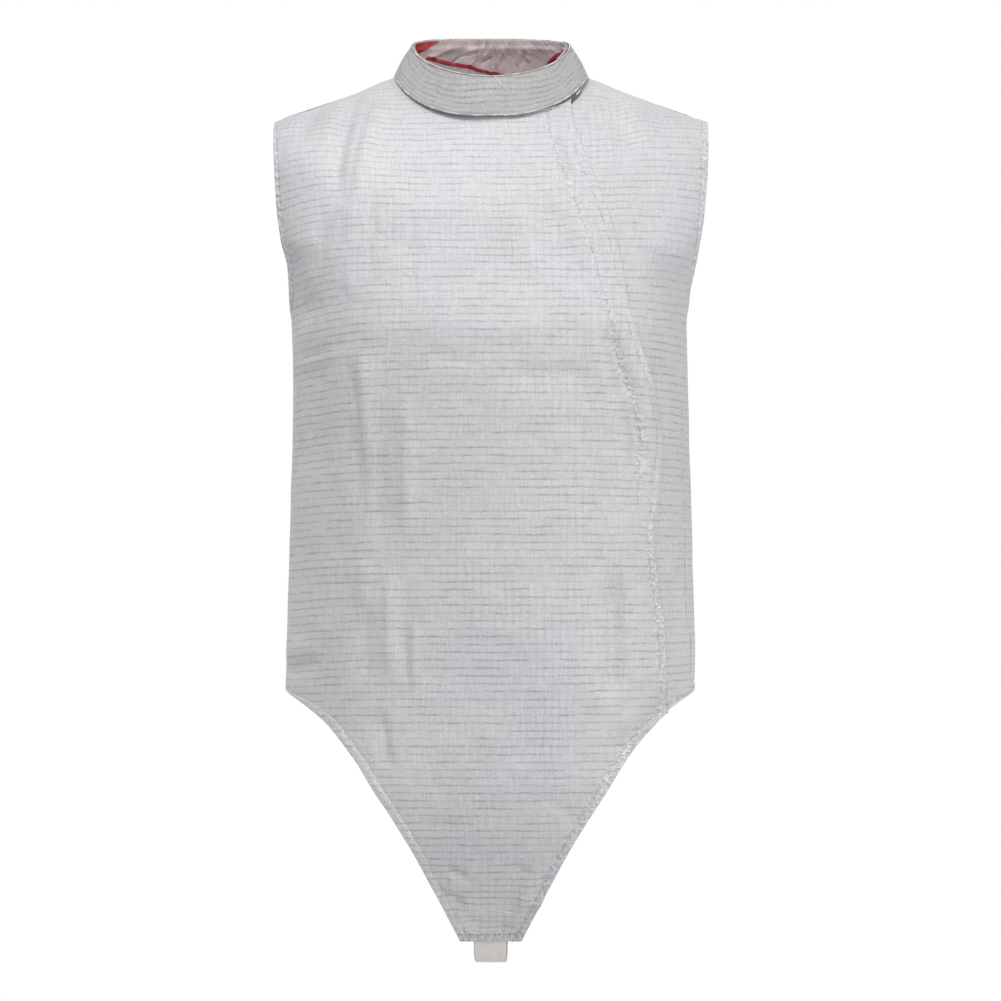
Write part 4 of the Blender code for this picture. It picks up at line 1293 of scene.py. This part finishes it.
def band_foot(turn, inside):
    """Points on the skin that the collar stands on, a little inside its outer foot line."""
    x, y = loop_point(shrunk(BAND_FOOT, inside), turn)
    facing = np.where(np.cos(turn) > 0, -1, 1)
    under_lap = (turn < np.pi / 2) & (x > 0)
    gape = np.exp(-((turn - FOOT_GAPE_AT) / FOOT_GAPE_REACH)**2)
    height = height_on_skin(x, y, facing) - np.where(under_lap, neck_sag(x), 0) - FOOT_SAG * gape
    on_flap = (turn > 1.5 * np.pi) * (1 - smooth_step(PAST_FLAP, NECK_POINT, turn))
    lift = flap_lift(bearing_of(np.minimum(x, FLAP_TOP), height, -1), height) * on_flap
    ahead = smooth_step(0.0, 0.6, np.cos(turn))
    lift = lift + BAND_LIFT_BACK + (BAND_LIFT_FRONT - BAND_LIFT_BACK) * ahead + FOOT_GAPE * gape
    return skin(bearing_of(x, height, facing), height, lift)


def band_rim(turn, inside):
    """Points of the collar's rim, a rounded ring on a plane that rises towards the back."""
    x, y = loop_point(shrunk(BAND_RIM, inside), turn)
    front = BAND_RIM.middle - BAND_RIM.front
    return np.stack([x, y, RIM_FRONT_HEIGHT + RIM_RISE * (y - front)], axis=-1)


def band_face(turn, share, inside, relief=0.0):
    """A face of the collar, at angles round the neck and shares of its height.

    It lies inside the collar's outer face. The start of the band tucks inside its far end.
    """
    share = share * np.ones_like(turn)
    tucked = LAP_IN * (1 - smooth_step(LAP_CLEAR, LAP_MERGED, turn))
    inside = inside + tucked - BAND_CROWN * np.sin(np.pi * share) - relief
    foot = band_foot(turn + 0 * share, inside)
    rim = band_rim(turn + 0 * share, inside)
    return foot + (rim - foot) * share[..., None]


# Dents and ridges of the band: where each is round the neck and up the band, how far it
# reaches each way, how deep it is and how much it leans
Dent = namedtuple("Dent", "degrees share degrees_wide share_wide depth lean", defaults=(0.0,))
BAND_DENTS = table(
    Dent,
    (326.8, 0.60, 2.6, 0.17, -0.0014),
    (322.5, 0.66, 2.0, 0.16, 0.0007),
    (336, 0.80, 5.0, 0.10, -0.0008),
    (363.5, 0.82, 1.4, 0.18, 0.0006, 12.0),
    (384, 0.50, 1.6, 0.55, -0.0006),
    (372, 0.35, 5.0, 0.16, -0.0009),
    (346, 0.42, 9.0, 0.14, 0.0010, 10.0),
    (352, 0.62, 8.0, 0.12, -0.0008, -14.0),
    (400, 0.62, 7.0, 0.20, 0.0010),
    (412, 0.40, 5.0, 0.30, -0.0009),
    (305, 0.62, 5.0, 0.20, -0.0010, 12.0),
    (296, 0.35, 5.0, 0.25, 0.0010),
    (288, 0.75, 5.0, 0.16, -0.0008),
    (160, 0.45, 8.0, 0.40, -0.0009),
    (215, 0.55, 7.0, 0.35, -0.0008),
    (250, 0.50, 6.0, 0.45, 0.0006))


def dent_relief(dents, turn, share):
    """How far the dents push the band out."""
    relief = 0 * turn * share
    for dent in dents:
        off = (np.degrees(turn) - dent.degrees + dent.lean * (share - dent.share)) / dent.degrees_wide
        up = (share - dent.share) / dent.share_wide
        relief = relief + dent.depth * np.exp(-off**2 - up**2)
    return relief


COLLAR_STEPS = 300
COLLAR_TOPSTITCH_ROW = 6
COLLAR_ROWS = np.array([0, 0.015, 0.045, *np.linspace(0.08, 0.90, 18), 0.93, 0.96, 0.985, 1.0])
collar_turns = np.linspace(BAND_START, BAND_END, COLLAR_STEPS + 1)[None, :]
collar_shares = COLLAR_ROWS[:, None]
dents = dent_relief(BAND_DENTS, collar_turns, collar_shares)
rim_roll = RIM_ROLL * np.exp(-((collar_shares - 1) / 0.07)**2)
collar_outer = band_face(collar_turns, collar_shares, 0.0, dents + rim_roll)
collar_inner = band_face(collar_turns, collar_shares, BAND_CLOTH, dents * 0.5)
collar_round = run_along(collar_outer[len(COLLAR_ROWS) // 2])
collar_up = np.linalg.norm(collar_outer[-1] - collar_outer[0], axis=-1)
collar_measure = measure_of(collar_round, collar_shares * collar_up * BAND_WEAVE_UP)
lame_collar = lame("lame_collar", (0.400, 0.400, 0.396), (0.396, 0.394, 0.408),
                   (0.440, 0.404, 0.400), pitch=0.0052, mottle=1.7)
collar = cloth_shell("collar_band", collar_outer, collar_inner, collar_measure, lame_collar)
# The pale cords along the rim and the foot are partly the band's edge finish and partly a painted
# highlight of its lit edges.
blush_thread = thread_finish("blush_thread", (0.84, 0.79, 0.79), (0.54, 0.50, 0.50))
collar_cord_and_edge_highlight = sew("collar_cord_and_edge_highlight", [
    band_face(collar_turns[:, collar_turns[0] > LAP_CLEAR], 0.992, 0.0004)[0],
    band_face(collar_turns, 0.008, -0.0002)[0],
], blush_thread, length=0.0030, gap=-0.0015, thread=0.0013, unevenness=0.0001)
collar_rows = sew("collar_topstitch", [collar_outer[COLLAR_TOPSTITCH_ROW]], pale_thread,
                  gap=0.0012, thread=0.0004)
loose_turns = np.radians(np.linspace(362.2, 367.5, 12))[None, :]
loose_shares = np.linspace(0.99, 0.69, 12)[None, :]
loose_line = band_face(loose_turns, loose_shares, -0.0004,
                       dent_relief(BAND_DENTS, loose_turns, loose_shares))
loose_end = sew("collar_loose_thread", [loose_line[0]], pale_thread, length=0.0040, gap=-0.0025,
                thread=0.0009)
for piece in (collar, collar_cord_and_edge_highlight, collar_rows, loose_end):
    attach(piece, "root")
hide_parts("collar")

# ---------------------------------------------------------------------------------------------
# Collar lining: thin mauve-grey satin, cut a little large, so that it wrinkles on the slant.
# Two rows of topstitching under the rim hold it to the band.

LINING_START = math.radians(57)
LINING_END = math.radians(360 + 50)
LINING_BEHIND = WALL + 0.0003
LINING_WALL = 0.0009
LINING_TOP = 0.993
LINING_SLACK = 0.0018
LINING_RADIUS = 0.0855
LINING_HEIGHT = 0.06
WEAVE_RADIUS = 0.085

# Folds of the satin, in millimetres round from the middle of the back and up the band
LINING_FOLDS = table(
    Crease,
    (-78, 27, -69.5, 40, 1.7, -2.2, 0.3),
    (-73.5, 36.5, -32, 43.5, 1.5, -2.2, 0.3, 2),
    (-72, 40, -40, 47, 2.6, 1.2, 0.0, 2),
    (-27, 29.5, 3, 39, 1.6, -2.2, 0.3),
    (-30, 34, 0, 44, 3, 1.1),
    (10, 21.5, 29, 41, 2.8, 1.2),
    (16, 21.5, 35, 41, 2.4, -1.2),
    (52, 24.5, 72, 46, 3, 1.3),
    (59, 24.5, 78, 46, 2.4, -1.3),
    (74, 29, 89, 47, 2.8, 1.2),
    (115, 30, 117, 60, 2.8, -2, 0.3),
    (47, 58, 51, 45, 1.4, 1.2),
    (-108, 30, -88, 50, 3, 1.2),
    (-100, 28, -82, 46, 2.4, -1.2),
    (-56, 20, -38, 35, 3, 1))


def wrinkles(turn, share):
    """Slack of the satin, always inwards: folds below, and fine puckers at the topstitching."""
    around, up = np.broadcast_arrays((np.pi - turn) * LINING_RADIUS, share * LINING_HEIGHT)
    loose = smooth_step(0.0, 0.25, share) * (1 - smooth_step(0.78, 0.90, share))
    waves = np.sin(150 * around - 90 * up + 1.7 * np.sin(61 * around))
    folds = LINING_SLACK + crease_relief(LINING_FOLDS, around, up) + 0.0004 * waves
    ruck = np.sin(820 * around + 330 * up + 3.0 * np.sin(170 * around + 1.0))
    sewn = smooth_step(0.66, 0.82, share) * (1 - smooth_step(0.90, 0.98, share))
    some = 0.5 + 0.5 * np.sin(47 * around + 2.0)
    return np.maximum(folds * loose + sewn * (0.0005 + 0.0003 * some * ruck), 0)


LINING_ROWS = LINING_TOP * np.array([0, 0.02, *np.linspace(0.05, 0.97, 34), 0.985, 1.0])
LINING_TOPSTITCH_ROWS = (-3, -7)
lining_turns = np.linspace(LINING_START, LINING_END, 420)[None, :]
lining_shares = LINING_ROWS[:, None]
wrinkle = wrinkles(lining_turns, lining_shares)
lining_outer = band_face(lining_turns, lining_shares, LINING_BEHIND, -wrinkle)
lining_inner = band_face(lining_turns, lining_shares, LINING_BEHIND + LINING_WALL, -wrinkle)


def satin(name, colour, deep):
    """Thin woven lining with a soft shine and a fine twill."""
    finish = Finish(name)
    u, v = finish.cloth_measure()
    slow = finish.between(finish.cloud(u, v, 45, 60, 2.0), 0.35, 0.65)
    fine = finish.between(finish.cloud(u, v, 900, 500, 1.0, 4.0), 0.3, 0.7, -0.06, 0.06)
    height = finish.sum("MULTIPLY", finish.cloud(u, v, 110, 70, 3.0, 8.0), 0.0010)
    return finish.dress(finish.mix(slow, (*deep, 1), (*colour, 1)),
                        finish.sum("ADD", fine, 1.0), 0.55, height)


lining = cloth_shell("collar_lining_cloth", lining_outer, lining_inner,
                     measure_of(lining_turns * WEAVE_RADIUS, lining_shares * LINING_HEIGHT),
                     satin("mauve_satin", (0.60, 0.49, 0.485), (0.43, 0.345, 0.345)))
lining_rows = sew("lining_topstitch", [lining_inner[row] for row in LINING_TOPSTITCH_ROWS],
                  pale_thread, length=0.0022, gap=0.0014, thread=0.0005)
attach(lining, "root")
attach(lining_rows, "root")
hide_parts("collar_lining")

# ---------------------------------------------------------------------------------------------
# Red wedge and tape: plain red cloth sewn over the lining, a wedge on the wearer's right under
# the rim and a narrow tape that runs round below it. They lie on the satin's wrinkles.

RED_WALL = 0.0006
RED_RADIUS = 0.08
ON_LINING = LINING_BEHIND + LINING_WALL + 0.0003

# Places round the collar in degrees, and up it in shares of its height
WEDGE_FOOT = [(250, 0.965), (256, 0.70), (266, 0.56), (290, 0.56)]
WEDGE_TOP = 0.985
TAPE_LINE = [
    (100, 0.74), (103, 0.68), (114, 0.43), (126, 0.16), (150, 0.12), (171, 0.22),
    (189, 0.27), (208, 0.375), (224, 0.43), (237, 0.49), (251, 0.58),
]
TAPE_HALF_WIDTH = 0.038


def smooth_route(points, count):
    """Even steps along a smooth curve through points."""
    points = np.array(points)
    padded = np.vstack([2 * points[0] - points[1], points, 2 * points[-1] - points[-2]])
    t = np.linspace(0, len(points) - 1, 400)
    part = np.minimum(t.astype(int), len(points) - 2)
    f = (t - part)[:, None]
    before, start, end, after = (padded[part + k] for k in range(4))
    curve = 0.5 * (2 * start + (end - before) * f
                   + (2 * before - 5 * start + 4 * end - after) * f**2
                   + (3 * start - before - 3 * end + after) * f**3)
    run = run_along(curve)
    even = np.linspace(0, run[-1], count)
    return np.stack([np.interp(even, run, curve[:, k]) for k in range(curve.shape[1])], axis=-1)


def red_piece(name, turns, low, high):
    """A strip of red cloth over the lining, between two lines of shares of the collar's height."""
    shares = low + (high - low) * np.linspace(0, 1, 12)[:, None]
    wrinkle = wrinkles(turns, shares)
    outer = band_face(turns, shares, ON_LINING, -wrinkle)
    inner = band_face(turns, shares, ON_LINING + RED_WALL, -wrinkle)
    measure = measure_of(turns * RED_RADIUS, shares * LINING_HEIGHT)
    return cloth_shell(name, outer, inner, measure, red_cloth)


red_cloth = satin("red_cloth", (0.40, 0.012, 0.032), (0.26, 0.007, 0.020))
wedge_degrees = np.linspace(250, 290, 44)[None, :]
wedge_foot = np.interp(wedge_degrees, *np.transpose(WEDGE_FOOT))
wedge = red_piece("red_wedge", np.radians(wedge_degrees), wedge_foot, WEDGE_TOP)
tape_degrees, tape_middle = smooth_route(TAPE_LINE, 150).T[:, None]
tape = red_piece("red_tape", np.radians(tape_degrees), tape_middle - TAPE_HALF_WIDTH,
                 tape_middle + TAPE_HALF_WIDTH)
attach(wedge, "root")
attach(tape, "root")
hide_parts("collar_patch")

# ---------------------------------------------------------------------------------------------
# Crotch strap: a tape of ribbed knitted elastic, warm white. One end is sewn inside the crotch
# point and the other inside the back hem, and it hangs in a loop between them.

ELASTIC = 0.0015
STRAP_WIDTH = 0.030
STRAP_BEHIND = WALL + 0.0014
STRAP_SLACK = 0.0010
STRAP_CURL = 0.0002
STRAP_DRAWN_IN = 0.09
STRAP_DRAWN_REACH = 0.016
STRAP_SEWN = 0.026
RIB_PITCH = 0.0011
WALE_PITCH = 0.0016

# y and z of the strap's middle between its two sewn ends
STRAP_ROUTE = [
    (-0.0480, -0.7880), (-0.0280, -0.7938), (-0.0040, -0.7835), (0.0250, -0.7450),
    (0.0560, -0.6880), (0.0810, -0.6290), (0.0950, -0.5850),
]


def elastic(name, colour):
    """Knitted elastic tape: fine ribs across it, warm white."""
    finish = Finish(name)
    u, v = finish.cloth_measure()
    ribs = finish.sum("SINE", finish.sum("MULTIPLY", v, 2 * math.pi / RIB_PITCH))
    cords = finish.sum("SINE", finish.sum("MULTIPLY", u, 2 * math.pi / WALE_PITCH))
    soft = finish.between(finish.cloud(u, v, 90, 60, 2.0), 0.3, 0.7, -0.05, 0.05)
    shade = finish.add_up(finish.sum("ADD", soft, 1.0), (ribs, 0.03), (cords, 0.006))
    return finish.dress(colour, shade, 0.8, finish.add_up(0.0, (cords, 0.00001), (ribs, 0.00005)))


front_sewn = np.array([TIP + STRAP_SEWN, TIP + STRAP_SEWN / 2, TIP])
back_hem = HEM - BACK_HEM_DIP
back_sewn = np.array([back_hem, back_hem + STRAP_SEWN])
behind_hem = STRAP_BEHIND + np.array([STRAP_SLACK, 0])
strap_line = smooth_route(np.vstack([
    stand_off(skin(0 * front_sewn, front_sewn, -STRAP_BEHIND), -1)[:, 1:],
    STRAP_ROUTE,
    stand_off(skin(np.pi + 0 * back_sewn, back_sewn, -behind_hem), 1)[:, 1:],
]), 150)
strap_along = unit(np.gradient(strap_line, axis=0))
strap_below = np.stack([strap_along[:, 1], -strap_along[:, 0]], axis=-1) * ELASTIC / 2
strap_x = STRAP_WIDTH * np.array([-0.5, -0.48, -0.44, *np.linspace(-0.38, 0.38, 11), 0.44, 0.48, 0.5])
strap_run = run_along(strap_line)


def strap_face(line):
    """One face of the strap: narrower where it turns under, and curling in at its sides."""
    curl = STRAP_CURL * np.abs(strap_x * 2 / STRAP_WIDTH)**5
    inwards = -unit(strap_below)
    from_turn = strap_run - strap_run[int(strap_line[:, 1].argmin())]
    share = 1 - STRAP_DRAWN_IN * np.exp(-(from_turn / STRAP_DRAWN_REACH)**2)
    return np.stack([np.column_stack([share * x, line + inwards * bend])
                     for x, bend in zip(strap_x, curl)], axis=1)


strap_measure = np.stack(np.meshgrid(strap_x, strap_run), axis=-1)
strap = cloth_shell("elastic_strap", strap_face(strap_line - strap_below),
                    strap_face(strap_line + strap_below), strap_measure,
                    elastic("white_elastic", (0.80, 0.77, 0.74)))
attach(strap, "root")
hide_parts("crotch_strap")
